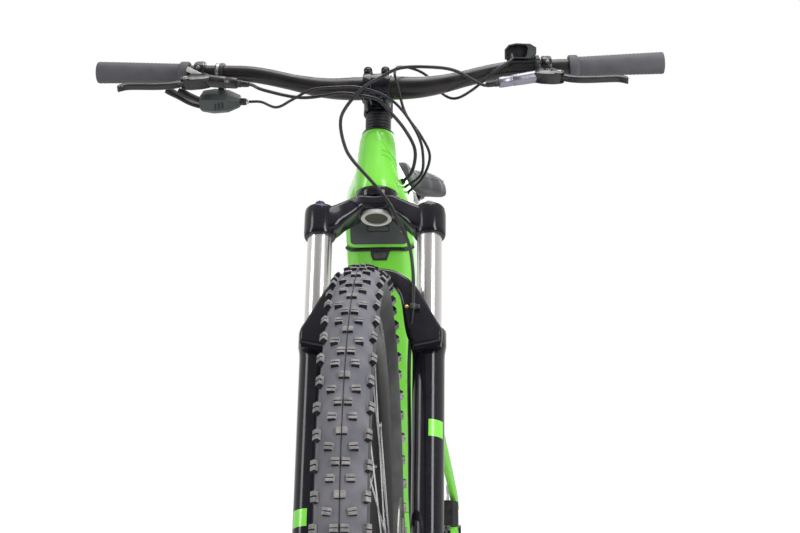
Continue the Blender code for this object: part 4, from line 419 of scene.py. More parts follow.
def at(point, turn=None):
    """A frame at a point, with a turn if one is given."""
    place = Matrix.Translation(point)
    return place @ turn if turn else place


def facing(point, way):
    """A frame at a point with Z along way."""
    return Matrix.Translation(point) @ Vector(way).to_track_quat("Z", "Y").to_matrix().to_4x4()


def bolt(shape, point, way, radius=0.0035, height=0.003, kind=0):
    """A button-head bolt with its hexagon socket, drawn as a hexagon on the head in the bolt's second
    finish: painted shade for the recess.
    """
    place = facing(point, way)
    shape.turned([(radius, -0.001), (radius, height * 0.5), (radius * 0.85, height * 0.85),
            (radius * 0.55, height)], place, 24, kind)
    # painted shade: a dark hexagon in place of the socket's recess
    shape.turned([(radius * 0.45, height * 0.6), (radius * 0.45, height + 0.00008)], place, 6, kind + 1)


def dress(node, material, edge=0.0004, sharp=40):
    """Gives a kept CAD piece its finish and soft edges."""
    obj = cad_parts[node]
    obj.data.materials.clear()
    obj.data.materials.append(material)
    for face in obj.data.polygons:
        face.use_smooth = True
    obj.data.set_sharp_from_angle(angle=math.radians(sharp))
    if edge:
        bevel = obj.modifiers.new("edges", "BEVEL")
        bevel.width = edge
        bevel.segments = 2
        bevel.limit_method = "ANGLE"
        bevel.angle_limit = math.radians(35)
        bevel.harden_normals = False
    return obj


# Fork

def leg(side):
    """A frame on a fork leg's axis, level with the crown race."""
    return STEER @ Matrix.Translation((LEG_X * side, -CROWN_OFFSET, 0))


def build_crown():
    """The one-piece crown: arms down to the two shoulders, and the steerer up through the head tube."""
    crown = Shape()
    # x, y and z of the middle, half width along Y and half height
    path = ((LEG_X, -0.02, -0.04, 0.018, 0.0212), (0.06, -0.019, -0.0378, 0.0185, 0.0195),
            (0.0475, -0.0162, -0.0295, 0.0183, 0.0148), (0.033, -0.0113, -0.019, 0.0208, 0.0115),
            (0.0195, -0.006, -0.01, 0.0235, 0.0088), (0, -0.003, -0.0095, 0.0248, 0.009))
    whole = [*[(-x, y, z, a, b) for x, y, z, a, b in path[:-1]], *reversed(path)]
    stations = [((x, y, z), rounded(a, b, min(a, b) * 0.55, 6)) for x, y, z, a, b in curve(whole, 5)]
    crown.loft(swept_rings(stations, Vector((0, 1, 0))), STEER)
    end = STEM_MIDDLE + 0.0185
    steerer = [(0.0155, -0.0192), (0.0196, -0.0192), (0.02, -0.013), (0.02, 0.024), (0.0143, 0.06),
            (0.0143, end), (0.0118, end), (0.0118, 0.06), (0.0155, 0.024)]
    crown.hoop(steerer, STEER)
    foot = -0.0618
    top = CROWN_TOP - 0.0065
    for side in (1, -1):
        shoulder = [(STANCHION + 0.0004, foot), (0.0196, foot), (0.0208, foot + 0.002),
                (0.0214, foot + 0.007), (0.0214, top - 0.012), (0.0211, top - 0.005),
                (0.0203, top - 0.0018), (0.019, top - 0.0003), (0.0165, top)]
        crown.turned(shoulder, leg(side))
    crown.made("fork_crown_cast", "steering", GLOSS_BLACK, replaces=["fork_crown"], slot="gloss_black")
    Shape().hoop([(0.0158, -0.0226), (0.02, -0.0226), (0.0207, -0.0219), (0.0207, -0.018), (0.0154, -0.018),
            (0.0154, -0.0221)], STEER).made("steerer_rim", "steering", MACHINED, slot="chrome")
    # Painted shade: a dark sleeve along the steerer's bore and a dark disc across it, low down, stand for
    # the shade inside the hollow tube
    inside = Shape()
    inside.hoop([(0.0145, -0.0148), (0.0154, -0.0148), (0.0154, 0.024), (0.0117, 0.06), (0.011, 0.06),
            (0.0145, 0.024)], STEER)
    inside.turned([(0.0156, -0.021), (0.0156, -0.0185)], STEER)
    inside.made("steerer_bore_shade", "steering", PAINTED_SHADE, slot="steel")
    cap = Shape()
    cap.turned([(0.0125, CROWN_TOP - 0.0075), (0.0125, CROWN_TOP - 0.0022), (0.011, CROWN_TOP - 0.0006),
            (0.006, CROWN_TOP)], leg(1))
    cap.turned([(0.003, CROWN_TOP - 0.002), (0.003, CROWN_TOP + 0.0012)], leg(1), 6)
    cap.made("air_cap_cover", "steering", SILVER, slot="chrome")


def build_stanchions():
    """The fork's two upper tubes."""
    for side, word in SIDES:
        Shape().turned([(STANCHION - 0.0002, -0.353), (STANCHION, -0.352), (STANCHION, CROWN_TOP - 0.0105)],
                leg(side), 64).made(f"stanchion_{word}_tube", "steering", CHROME,
                replaces=[f"stanchion_{word}"], slot="chrome")


def build_dial():
    """A small fluted knob with its pointer."""
    dial = Shape()
    place = STEER @ at((-DIAL_X, -CROWN_OFFSET, CROWN_TOP))
    dial.turned([(0.0062, -0.0066), (0.0062, 0.0012), (0.0056, 0.002)], place)
    flutes = [(a, 1 + 0.035 * math.cos(16 * a)) for a in angles(96)]
    dial.loft([[(radius * f * math.cos(a), radius * f * math.sin(a), z) for a, f in flutes]
            for z, radius in ((-0.003, 0.0064), (0.003, 0.0064), (0.0044, 0.0056), (0.005, 0.004))], place)
    pointer = rounded(0.0015, 0.005, 0.0012, 3)
    dial.plate([(x, y - 0.005) for x, y in pointer], -0.0014, 0.0024, 0.0005, place)
    dial.turned([(0.002, 0.0045), (0.002, 0.0054)], place, 6)
    dial.made("lockout_knob", "lockout", PURPLE, replaces=["lockout_dial"], slot="purple_anodised")


def build_lowers():
    """Two cast legs with the axle lugs, the arch ahead of the stanchions, seals and colour blocks."""
    cast = Shape()
    foot = -FORK_LENGTH
    profile = [(0.008, foot - 0.0165), (0.0125, foot - 0.016), (0.018, foot - 0.009), (0.0198, foot),
            (0.0205, foot + 0.015), (0.0205, SEAL_TOP - 0.042), (0.0209, SEAL_TOP - 0.033),
            (0.0222, SEAL_TOP - 0.026), (0.0226, SEAL_TOP - 0.023), (0.0226, SEAL_TOP - 0.005),
            (0.022, SEAL_TOP - 0.0022), (0.0206, SEAL_TOP - 0.001), (0.018, SEAL_TOP - 0.001)]
    for side in (1, -1):
        cast.turned(profile, leg(side), 64)
        outline = [*arc((-FORK_OFFSET, foot), 0.0165, 150, 350, 20), (-CROWN_OFFSET + 0.0165, foot + 0.018),
                (-CROWN_OFFSET + 0.0165, foot + 0.064), (-CROWN_OFFSET - 0.0165, foot + 0.064),
                (-CROWN_OFFSET - 0.018, foot + 0.03)]
        low, high = sorted((0.0554 * side, 0.071 * side))
        cast.plate(outline, low, high, 0.0022, STEER @ FLAT)
    outer = [(0.0905, -0.03), (0.09, -0.013), (0.084, -0.001), (0.0775, 0.011), (0.0712, 0.0235),
            (0.0635, 0.037), (0.055, 0.05), (0.044, 0.0615), (0.03, 0.07), (0.015, 0.0735)]
    inner = [(0.015, 0.053), (0.027, 0.048), (0.0345, 0.038), (0.0385, 0.023), (0.041, 0.005),
            (0.0455, -0.02), (0.055, -0.038)]
    outer, inner = (curve(points, 4) for points in (outer, inner))
    outline = [*inner[::-1], *[(-x, z) for x, z in inner], *[(-x, z) for x, z in outer], *outer[::-1]]
    outline = [(x, z + SEAL_TOP) for x, z in outline]
    rounding = ((-0.056, 0.0046), (-0.0557, 0.0034), (-0.0547, 0.0016), (-0.0532, 0.0004), (-0.051, 0.0),
            (-0.046, 0.0), (-0.0449, 0.0006), (-0.0445, 0.002))
    cast.loft([[(x, z, y) for x, z in shrunk(outline, inset)] for y, inset in rounding], STEER @ STAND)
    for side in (1, -1):
        root = [(0.056, -0.04), (0.0585, 0.0), (0.064, 0.0), (0.084, -0.006), (0.0905, -0.014),
                (0.089, -0.036)]
        root = [(x * side, z + SEAL_TOP) for x, z in root]
        cast.plate(root, -0.052, -0.037, 0.003, STEER @ STAND)
    cast.plate(square(0.0655, -0.006, 0.08, 0.04), foot + 0.018, foot + 0.056, 0.0015, STEER)
    cast.made("fork_casting", "fork_lowers", GLOSS_BLACK, replaces=["fork_lowers"], slot="gloss_black")
    seals = Shape()
    for side in (1, -1):
        seals.hoop([(STANCHION + 0.0001, SEAL_TOP - 0.004), (0.0195, SEAL_TOP - 0.004),
                (0.0195, SEAL_TOP - 0.0004), (0.0184, SEAL_TOP + 0.0012), (0.0172, SEAL_TOP + 0.003),
                (STANCHION + 0.0001, SEAL_TOP + 0.003)], leg(side))
    seals.made("wiper_seals", "fork_lowers", HOSE_BLACK, slot="rubber")
    trim = Shape()
    for side, low, high in ((1, -0.35, -0.3275), (-1, -0.4665, -0.444)):
        first, last = (-90 + side * 4, -90 + side * 66)
        outline = arc((0, 0), 0.02062, first, last, 16) + arc((0, 0), 0.02, last, first, 16)
        trim.loft([[(x, y, z) for x, y in outline] for z in (low, low + 0.0004, high - 0.0004, high)],
                leg(side))
    trim.made("fork_colour_blocks", "fork_lowers", GREEN, slot="green_paint")
    fit = Shape()
    spot = STEER @ Vector((0.0455, -0.056, SEAL_TOP + 0.0165))
    fit.turned([(0.0026, -0.004), (0.0026, 0.0006), (0.0016, 0.001), (0.0014, 0.0002)], facing(spot, AHEAD),
            24)
    fit.made("arch_screw", "fork_lowers", BRASS, slot="steel")


# Head tube, headset and stem

def head_radius(z):
    """Radius of the head tube's skin at a height."""
    spots = ((0.013, 0.029), (0.022, 0.0297), (0.03, 0.0299), (0.04, 0.0296), (0.05, 0.0288),
            (0.062, 0.0276), (0.076, 0.0266), (0.086, 0.0257), (0.0935, 0.0249), (0.105, 0.0222))
    for (a, r), (b, q) in zip(spots, spots[1:]):
        if z <= b:
            return r + (q - r) * (z - a) / (b - a)
    return spots[-1][1]


def build_stripes():
    """Thin darker lines on the left side of the head tube, meeting at an angle."""
    stripes = Shape()
    for line in (((14, 0.083), (46, 0.064), (78, 0.049)), ((14, 0.069), (44, 0.0655), (76, 0.056)),
            ((14, 0.0615), (42, 0.0575), (76, 0.0415))):
        rings = []
        for turn, z in curve(line, 10):
            spots = []
            for up, out in ((-0.0006, 0.0001), (0.0006, 0.0001), (0.0006, 0.00028), (-0.0006, 0.00028)):
                radius = head_radius(z + up) + out
                a = math.radians(turn)
                spots.append((radius * math.sin(a), -radius * math.cos(a), z + up))
            rings.append(spots)
        stripes.loft(rings, STEER)
    stripes.made("head_tube_lines", "frame", DARK_GREEN, slot="green_paint")


def build_headset():
    """The lower cup, the upper cover and a stack of spacers."""
    lower = Shape()
    lower.hoop([(0.0203, 0.0004), (0.0268, 0.0004), (0.0277, 0.0012), (0.0283, 0.006), (0.0285, 0.007),
            (0.0285, 0.0122), (0.0282, 0.0127), (0.0203, 0.0127)], STEER, 96)
    lower.made("lower_bearing_cup", "frame", GLOSS_BLACK, replaces=["headset_lower_cup"],
            slot="gloss_black")
    cover = Shape()
    cover.hoop([(0.0147, HEAD_TOP + 0.0003), (0.0223, HEAD_TOP + 0.0003), (0.0223, HEAD_TOP + 0.0012),
            (0.0214, HEAD_TOP + 0.0032), (0.019, HEAD_TOP + 0.0052), (0.0176, HEAD_TOP + 0.0066),
            (0.0147, HEAD_TOP + 0.0066)], STEER, 96)
    cover.made("upper_bearing_cover", "frame", SHELL_BLACK, replaces=["headset_cover"],
            slot="black_plastic")
    spacers = Shape()
    foot, stack, count = (0.1121, 0.026, 5)
    pitch = stack / count
    edge = ((0.0146, 0.0001), (0.0166, 0.0001), (0.0173, 0.0006), (0.0175, 0.0012))
    for z in [foot + i * pitch for i in range(count)]:
        spacers.hoop([*[(r, z + h) for r, h in edge], *[(r, z + pitch - h) for r, h in reversed(edge)]],
                STEER, 72)
    spacers.made("steerer_spacers", "steering", SHELL_BLACK, replaces=["headset_spacers"],
            slot="black_plastic")


def build_stem():
    """The short stem and, around the bar, its faceplate with four bolts."""
    stem = Shape()
    half = 0.019
    top = STEM_MIDDLE + half
    stem.hoop(doubled([(0.0146, -half), (0.0195, -half), (0.0204, 0.001 - half), (0.0206, 0.004 - half)]),
            STEER @ at((0, 0, STEM_MIDDLE)), 72)
    spots = ((-0.012, 0.015, 0.016), (-0.023, 0.0168, 0.0165), (-0.03, 0.019, 0.019),
            (-0.034, 0.0199, 0.0228), (-0.0368, 0.0202, 0.024), (-0.0397, 0.02, 0.024))
    rings = swept_rings([((0, y, STEM_MIDDLE), rounded(a, b, 0.0065, 5)) for y, a, b in spots])
    stem.loft(rings, STEER)
    stem.turned([(0.0175, top - 0.001), (0.0175, top + 0.0014), (0.0168, top + 0.0026),
            (0.0145, top + 0.0036), (0.006, top + 0.004)], STEER, 64)
    stem.turned([(0.004, top + 0.003), (0.004, top + 0.005), (0.003, top + 0.006)], STEER, 24)
    stem.made("stem_body", "steering", GLOSS_BLACK, replaces=["stem"], slot="gloss_black")
    face = Shape()
    middle = (-STEM_LENGTH, STEM_MIDDLE)
    outer = arc(middle, 0.0209, 246, 114, 28)
    inner = arc(middle, 0.0163, 100, 260, 24)
    y, z = (-STEM_LENGTH - 0.0003, STEM_MIDDLE)
    strap = [(y, z - 0.0205), *outer, (y, z + 0.0205), (y, z + 0.0163), *inner, (y, z - 0.0163)]
    for low, high in ((-0.0182, -0.0068), (0.0068, 0.0182)):
        face.plate(strap, low, high, 0.001, STEER @ FLAT)
    web = [(y * 0.985 + middle[0] * 0.015, z * 0.985 + middle[1] * 0.015) for y, z in strap]
    face.plate(web, -0.0085, 0.0085, 0.0008, STEER @ FLAT)
    screws = Shape()
    for x in (-0.0118, 0.0118):
        for z in (-0.0205, 0.0215):
            spot = STEER @ Vector((x, -STEM_LENGTH, STEM_MIDDLE + z))
            face.turned([(0.006, -0.015), (0.0062, 0.0105), (0.0058, 0.0122), (0.0048, 0.0128),
                    (0.0046, 0.0112)], facing(spot, AHEAD), 32)
            bolt(screws, spot + AHEAD * 0.0112, AHEAD, 0.004, 0.0022)
    face.made("bar_clamp_plate", "steering", GLOSS_BLACK, replaces=["stem_faceplate"], slot="gloss_black")
    screws.made("clamp_plate_bolts", "steering", BRAKE_BLACK, HOSE_BLACK, slot="steel")


# Cockpit

def bar_point(x):
    """The bar's centre line: level in the clamp, then rising and sweeping back."""
    t = abs(x)
    s = min(max((t - 0.045) / 0.145, 0), 1)
    ease = s * s * (3 - 2 * s)
    far = (t - 0.045) / (BAR_HALF - 0.045)
    centre = STEER @ Vector((0, -STEM_LENGTH, STEM_MIDDLE))
    return centre + Vector((x, 0.04 * ease * far, 0.036 * ease * (0.55 + 0.45 * far)))


def control_frame(side):
    """On the bar where the controls sit: X along the bar, -Y in the levers' plane, ahead and down."""
    origin = bar_point(CONTROL_X[side] * side)
    along = (bar_point((CONTROL_X[side] + 0.1) * side) - origin).normalized() * side
    reach = Vector((0, -math.cos(LEVER_DROP), -math.sin(LEVER_DROP)))
    up = along.cross(-reach).normalized()
    turn = Matrix((along, up.cross(along), up)).transposed()
    return Matrix.Translation(origin) @ turn.to_4x4()


def handed(side):
    """The control frame of a side with its X outward."""
    return control_frame(side) @ Matrix.Diagonal((side, 1, 1, 1))


def build_bar():
    """The bar, thick in its clamp and thinner outward."""
    bar = Shape()
    count = 120
    points = [bar_point(-BAR_HALF + 0.004 + (2 * BAR_HALF - 0.008) * i / count) for i in range(count + 1)]
    radii = [0.0159 - 0.0048 * min(max((abs(p.x) - 0.032) / 0.083, 0), 1) for p in points]
    bar.tube(points, radii, 40)
    bar.made("riser_bar", "steering", ANODISED, replaces=["handlebar"], slot="anodised_black")


def build_grips():
    """Two ribbed grips, each with a collar at its inner end."""
    for side, word in SIDES:
        grip = Shape()
        first = BAR_HALF - 0.13 - CONTROL_X[side]
        last = BAR_HALF - CONTROL_X[side]
        section = [(0.0117, first + 0.0004), (0.015, first), (0.0158, first + 0.0008),
                (0.016, first + 0.0022), (0.016, first + 0.0098), (0.0157, first + 0.0112),
                (0.0148, first + 0.0122), (0.0134, first + 0.014)]
        steps = 44
        for i in range(steps + 1):
            t = i / steps
            x = first + 0.0145 + (last - first - 0.015) * t
            bulge = 0.0003 * math.sin(t * math.pi)
            rib = 0.00022 * (1 if i % 2 else -1)
            section.append((0.0132 + 0.0018 * t**1.5 + bulge + rib, x))
        section += [(0.0146, last + 0.0004), (0.0128, last + 0.001), (0.004, last + 0.001),
                (0.004, last - 0.0012), (0.0117, last - 0.0012)]
        place = handed(side) @ upright()
        grip.hoop(section, place, 56)
        grip.made(f"rubber_grip_{word}", "steering", GRIP_RUBBER, replaces=[f"grip_{word}"], slot="rubber")


def build_brakes():
    """The brake cylinders with their clamps and bolts, and the lever blades."""
    for side, word in SIDES:
        place = handed(side)
        pivot = at((*LEVER_PIVOT, 0))
        # Painted light: the left cylinder is made lighter than the matching right one, for the stronger
        # light on its side
        finish = LIT_BRAKE_GREY if side > 0 else BRAKE_BLACK
        body = Shape()
        near = Vector((0.006, -0.0228, 0))
        far = CYLINDER_END[side]
        steps = ((0.0, 0.004), (0.02, 0.0068), (0.06, 0.0083), (0.3, 0.0086), (0.6, 0.0082),
                (0.735, 0.0078), (0.745, 0.0072), (0.76, 0.0072), (0.77, 0.0077), (0.955, 0.0074),
                (0.985, 0.0068), (1.0, 0.005))
        body.tube([near.lerp(far, t) for t, _ in steps], [r for _, r in steps], 36, place, kind=0)
        jaw = [(-0.018, -0.0225), (-0.008, -0.015), (0.001, -0.0142), (0.0075, -0.02), (0.0128, -0.027),
                (0.0066, -0.0285), (0.0066, -0.0415), (0.0128, -0.042), (0.004, -0.044), (-0.012, -0.04),
                (-0.02, -0.0345)]
        body.plate(jaw, -0.0078, 0.0078, 0.0012, place, 2)
        for low, high in ((-0.008, -0.0055), (0.0055, 0.008)):
            ear = [*arc(LEVER_PIVOT, 0.007, -110, 70, 10), (0.004, -0.025), (0.0, -0.035)]
            body.plate(ear, low, high, 0.0007, place, 2)
        body.turned(doubled([(0.003, -0.0088), (0.0034, -0.0084)]), place @ pivot, 24, kind=1)
        body.made(f"brake_cylinder_{word}", "steering", finish, STEEL, BRAKE_BLACK,
                replaces=[f"brake_body_{word}"], slot="brake_grey")
        band = Shape()
        band.hoop(doubled([(BAR_BORE, -0.0065), (0.0152, -0.0065), (0.0162, -0.0058), (0.0166, -0.004)]),
                place @ upright(), 56)
        for z in (0.0138, -0.0138):
            block = rounded(0.0062, 0.0052, 0.0015, 3)
            band.plate([(a, b - 0.0078) for a, b in block], z - 0.0042, z + 0.0042, 0.0008, place)
        band.made(f"brake_clamp_{word}", "steering", BRAKE_BLACK, slot="brake_grey")
        bolts = Shape()
        for z in (0.0138, -0.0138):
            spot = place @ Vector((0, -0.0128, z))
            bolt(bolts, spot, place.to_3x3() @ Vector((0, -1, 0)), 0.0032, 0.0026)
        bolts.made(f"brake_clamp_bolts_{word}", "steering", STEEL, PAINTED_SHADE, slot="steel")
        lever = Shape()
        thick = 0.0048
        lever.turned(doubled([(0.0046, -thick), (0.0056, -thick + 0.0006), (0.0058, -thick + 0.0014)]),
                place @ pivot, 32)
        route = ((-0.002, 0.0015, 0.0036), (0.004, -0.002, 0.0044), (0.014, -0.0085, 0.0047),
                (0.026, -0.0128, 0.0044), (0.04, -0.0146, 0.0042), (0.054, -0.0148, 0.0042),
                (0.068, -0.0146, 0.0045), (0.078, -0.0152, 0.0049), (0.0838, -0.0182, 0.0047),
                (0.0872, -0.0222, 0.0038), (0.0884, -0.0252, 0.0016))
        stations = [((x, y, 0), rounded(r, thick - 0.0002, min(r * 0.9, 0.0028), 5))
                for x, y, r in curve(route, 4)]
        lever.loft(swept_rings(stations, Vector((0, 1, 0))), place @ pivot)
        lever.made(f"lever_blade_{word}", f"brake_lever_{word}", BRAKE_BLACK,
                replaces=[f"brake_lever_{word}"], slot="brake_grey")


def build_controls():
    """The gear pod and its paddles, the motor's remote, and small details."""
    place = handed(-1)
    pod = Shape()
    back, middle = CABLE_EXIT
    steps = ((-0.0555, 0.005, 0.004), (-0.0545, 0.0086, 0.0066), (-0.052, 0.01, 0.0078),
            (-0.04, 0.015, 0.0122), (-0.0385, 0.0155, 0.0128), (-0.02, 0.0166, 0.0144),
            (-0.018, 0.0166, 0.0145), (-0.003, 0.015, 0.0124), (-0.001, 0.0146, 0.0116), (0.0, 0.013, 0.01))
    c = 0.58
    corners = ((1, -c), (1, c), (c, 1), (-c, 1), (-1, c), (-1, -c), (-c, -1), (c, -1))
    rings = [[(x, wide * u - 0.013, tall * v + middle) for u, v in corners] for x, wide, tall in steps]
    pod.loft(rings, place)
    pod.made("gear_pod", "steering", SHELL_GREY, replaces=["shifter_body"], slot="black_plastic", sharp=12)
    ring = Shape()
    ring.hoop([(BAR_BORE, -0.0325), (0.0138, -0.0325), (0.0144, -0.0315), (0.0144, -0.0225),
            (0.0138, -0.0215), (BAR_BORE, -0.0215)], place @ upright(), 56)
    ring.plate(square(-0.031, -0.006, -0.023, 0.006), POD_HEIGHTS[1] - 0.004, -0.0118, 0.0008, place)
    ring.made("gear_clamp", "steering", SHELL_BLACK, slot="black_plastic")
    Shape().hoop([(0.0142, -0.0272), (0.0146, -0.027), (0.0146, -0.0236), (0.0142, -0.0234)],
            place @ upright(), 56).made("gear_clamp_band", "steering", SILVER, slot="chrome")
    barrel = Shape()
    flutes = [(a, 1 + 0.05 * math.cos(10 * a)) for a in angles(60)]
    barrel.loft([[(x, r * f * math.cos(a) + back, r * f * math.sin(a) + middle) for a, f in flutes]
            for x, r in ((-0.05, 0.0044), (-0.06, 0.0048), (-0.063, 0.0044), (-0.0638, 0.0036))], place)
    barrel.made("cable_adjuster", "steering", SHELL_BLACK, slot="black_plastic")
    Shape().turned([(0.0034, 0.062), (0.0036, 0.066), (0.0028, 0.067)],
            place @ at((0, *CABLE_EXIT)) @ upright(-1), 32).made("cable_ferrule", "steering", SILVER,
            slot="steel")
    ribs = Shape()
    for i in range(3):
        x = -0.033 + 0.005 * i
        outline = rounded(0.0012, 0.0048, 0.001, 3)
        ribs.plate([(a + x, b - 0.001 * i) for a, b in outline], -0.0006, 0.001, 0.0005,
                place @ at((0, -0.029, middle)) @ Matrix.Rotation(math.pi / 2, 4, "X"))
    ribs.made("gear_pod_ribs", "steering", SHELL_BLACK, slot="black_plastic")
    place = handed(1)
    shell = Shape()
    outer = [(-0.0215, -0.0098), (-0.0218, 0.002), (-0.0165, 0.0085), (-0.007, 0.0108), (0.013, 0.0104),
            (0.0212, 0.0056), (0.0214, -0.002), (0.013, -0.0098)]
    mouth = [(-0.0196, -0.0084), (-0.02, 0.0012), (-0.0152, 0.0068), (-0.0062, 0.009), (0.007, 0.0086),
            (0.0098, 0.0044), (0.0088, -0.004), (0.0064, -0.0084)]
    spot = at(place @ Vector((-0.034, 0.006, 0.0215))) @ Matrix.Rotation(math.radians(2), 4, "Y") @ STAND
    rings = [[(a * s, b * s, y) for a, b in points]
            for points, y, s in ((outer, 0.01, 0.78), (outer, 0.0092, 0.86), (outer, 0.005, 0.97),
            (outer, -0.008, 1.0), (outer, -0.0092, 0.985), (mouth, -0.0092, 1.0), (mouth, -0.001, 0.94))]
    shell.loft(rings, spot)
    # the hood's inner wall and its back are dark
    around = len(outer)
    for k in [*range(5 * around, 6 * around), len(shell.faces) - 1]:
        shell.kinds[k] = 1
    shell.made("remote_shell", "steering", SHELL_GREY, HOSE_BLACK, replaces=["remote_housing"],
            slot="black_plastic", sharp=12)
    band = Shape()
    band.hoop([(BAR_BORE, -0.0165), (0.0134, -0.0165), (0.0139, -0.0155), (0.0139, -0.009),
            (0.0134, -0.008), (BAR_BORE, -0.008)], place @ upright(), 56)
    band.plate(square(-0.016, -0.004, -0.0085, 0.01), 0.01, 0.015, 0.0008, place)
    band.plate(square(-0.053, -0.005, -0.015, 0.006), 0.0095, 0.0135, 0.0008, place)
    band.made("remote_clamp", "steering", SHELL_BLACK, slot="black_plastic")
    Shape().turned([(0.0034, 0.0), (0.0032, 0.006), (0.0026, 0.011)],
            facing(place @ Vector(REMOTE_EXIT), place.to_3x3() @ Vector((0, -1, 0))),
            24).made("remote_gland", "steering", HOSE_BLACK, slot="rubber")
    tag = Shape()
    place = handed(-1)
    slope = Matrix(((-0.883, 0.469, 0), (0, 0, -1), (-0.469, -0.883, 0))).to_4x4()
    spot = place @ at((0.001, -0.02, 0.0075)) @ slope
    tag.plate(rounded(0.015, 0.0036, 0.001, 3), -0.0005, 0.0005, 0.0003, spot, 0)
    tag.plate([(x + 0.013, y) for x, y in rounded(0.0034, 0.0037, 0.0008, 3)], -0.0006, 0.0007, 0.0003,
            spot, 1)
    tag.made("size_tag", "steering", WHITE, YELLOW, slot="grey_plastic")
    build_paddles(place)
    dress("remote_button", SHELL_GREY, 0.0005)


def build_paddles(place):
    """Two thumb levers that reach up and out from the pod's pin."""
    x, y = PADDLE_PIN
    # x, y and z of the middle, half width and half thickness
    routes = {"shift_paddle": ((x, y, -0.04, 0.006, 0.0022), (0.002, -0.014, -0.042, 0.006, 0.0024),
            (0.018, -0.013, -0.0372, 0.0062, 0.0025), (0.033, -0.0115, -0.029, 0.0068, 0.0027),
            (0.044, -0.01, -0.0235, 0.0074, 0.0032), (0.05, -0.0095, -0.0212, 0.0062, 0.0026)),
            "release_paddle": ((x, y, -0.034, 0.0056, 0.002), (0.002, -0.015, -0.033, 0.0056, 0.0024),
            (0.014, -0.015, -0.0282, 0.0056, 0.003), (0.025, -0.015, -0.0225, 0.0056, 0.0036),
            (0.0315, -0.015, -0.0196, 0.0044, 0.003))}
    for name, route in routes.items():
        arm = Shape()
        stations = [((u, v, w), rounded(wide, thin, thin * 0.8, 4))
                for u, v, w, wide, thin in curve(route, 5)]
        arm.loft(swept_rings(stations, Vector((0, 1, 0))), place)
        level = route[0][2]
        arm.turned([(0.0062, level - 0.0017), (0.0066, level - 0.0012), (0.0066, level + 0.0012),
                (0.0062, level + 0.0017)], place @ at((x, y, 0)), 32)
        arm.made(f"{name}_arm", name, SHELL_BLACK, replaces=[name], slot="black_plastic")


# Wheels

def build_tyre(word, centre):
    """A carcass with the tread's blocks in rows of two, sipes, and a knob row on each shoulder."""
    casing = Shape()
    half = [(0.3102, 0.0126), (0.3135, 0.0133), (0.3185, 0.014), (0.324, 0.0205), (0.33, 0.0262),
            (0.337, 0.0288), (0.344, 0.0285), (0.3506, 0.0268), (0.357, 0.023), (0.3617, 0.0174),
            (0.365, 0.0106), (0.3664, 0.0035)]
    section = doubled(curve(half, 3))
    place = at(centre) @ upright()
    casing.hoop(section, place, 264)
    kinds = [0 if r > 0.349 else 1 for r, x in section]
    count = len(section)
    casing.kinds = [kinds[i % count] for i in range(len(casing.faces))]
    casing.made(f"{word}_tyre_casing", f"{word}_wheel", TREAD, SIDEWALL, replaces=[f"{word}_tyre"],
            slot="tyre_rubber")
    blocks = Shape()
    rows = 132

    def block(angle, x, base, top, wide, long, lean, skew, notch):
        """One rubber block: a tapered form on the casing, with a cut across its face."""
        out = Matrix.Rotation(-angle, 4, "X") @ Matrix.Translation((x, 0, base))
        turn = out @ Matrix.Rotation(lean, 4, "Y") @ Matrix.Rotation(skew, 4, "Z")
        foot = rounded(wide / 2 + 0.0007, long / 2 + 0.0007, 0.0016, 2)
        head = rounded(wide / 2 - 0.0002, long / 2 - 0.0002, 0.0012, 2)
        cap = rounded(wide / 2 - 0.001, long / 2 - 0.001, 0.0009, 2)
        height = top - base
        first = len(blocks.faces)
        if notch:
            for way in (1, -1):
                halves = [[(a, max(min(b, long / 2), -long / 2) * 0.46 + way * long * 0.255)
                        for a, b in ring] for ring in (head, cap)]
                blocks.loft([[(a, b, height * 0.45) for a, b in halves[0]],
                        [(a, b, height * 0.9) for a, b in halves[0]],
                        [(a, b, height) for a, b in halves[1]]], at(centre) @ turn)
            blocks.loft([[(a, b, -0.002) for a, b in foot], [(a, b, height * 0.6) for a, b in head]],
                    at(centre) @ turn)
        else:
            blocks.loft([[(a, b, -0.002) for a, b in foot], [(a, b, height * 0.92) for a, b in head],
                    [(a, b, height) for a, b in cap]], at(centre) @ turn)
        # Painted shade: the face of each block that looks forward round the wheel gets the dark rubber, as
        # if always in shade
        lead = turn.to_3x3() @ Vector((0, -1, 0))
        for k in range(first, len(blocks.faces)):
            a, b, c = (blocks.points[n] for n in blocks.faces[k][:3])
            if (b - a).cross(c - a).normalized().dot(lead) > 0.5:
                blocks.kinds[k] = 1

    for i in range(rows):
        angle = 2 * math.pi * i / rows
        kind = i % 4
        # distance from the middle, width, length and turn in degrees
        offset, wide, long, skew = ((0.0127, 0.0098, 0.0086, 9), (0.0031, 0.0056, 0.0088, 0),
                (0.0104, 0.0095, 0.0086, 4), (0.0053, 0.0088, 0.009, 0))[kind]
        rise = 0.3664 - offset**2 * 10.0
        for way in (1, -1):
            top = 0.3699 - offset**2 * 13.0
            block(angle, offset * way, rise - 0.001, top, wide, long, math.radians(offset * way * 900),
                    math.radians(skew * way), kind != 1)
        if i % 2 == 1:
            across, rise, top = (0.0235, 0.3532, 0.3612) if i % 4 == 1 else (0.025, 0.3518, 0.3594)
            for way in (1, -1):
                block(angle, across * way, rise, top, 0.0078, 0.0128, math.radians(46 * way), 0, True)
    blocks.made(f"{word}_tread_blocks", f"{word}_wheel", DUSTY, SHADE_AND_SEAM_RUBBER, slot="tyre_rubber")
    Shape().hoop(doubled([(0.366, 0.0004), (0.3671, 0.00025)]), place, 264).made(f"{word}_tread_seam",
            f"{word}_wheel", SHADE_AND_SEAM_RUBBER, slot="tyre_rubber")


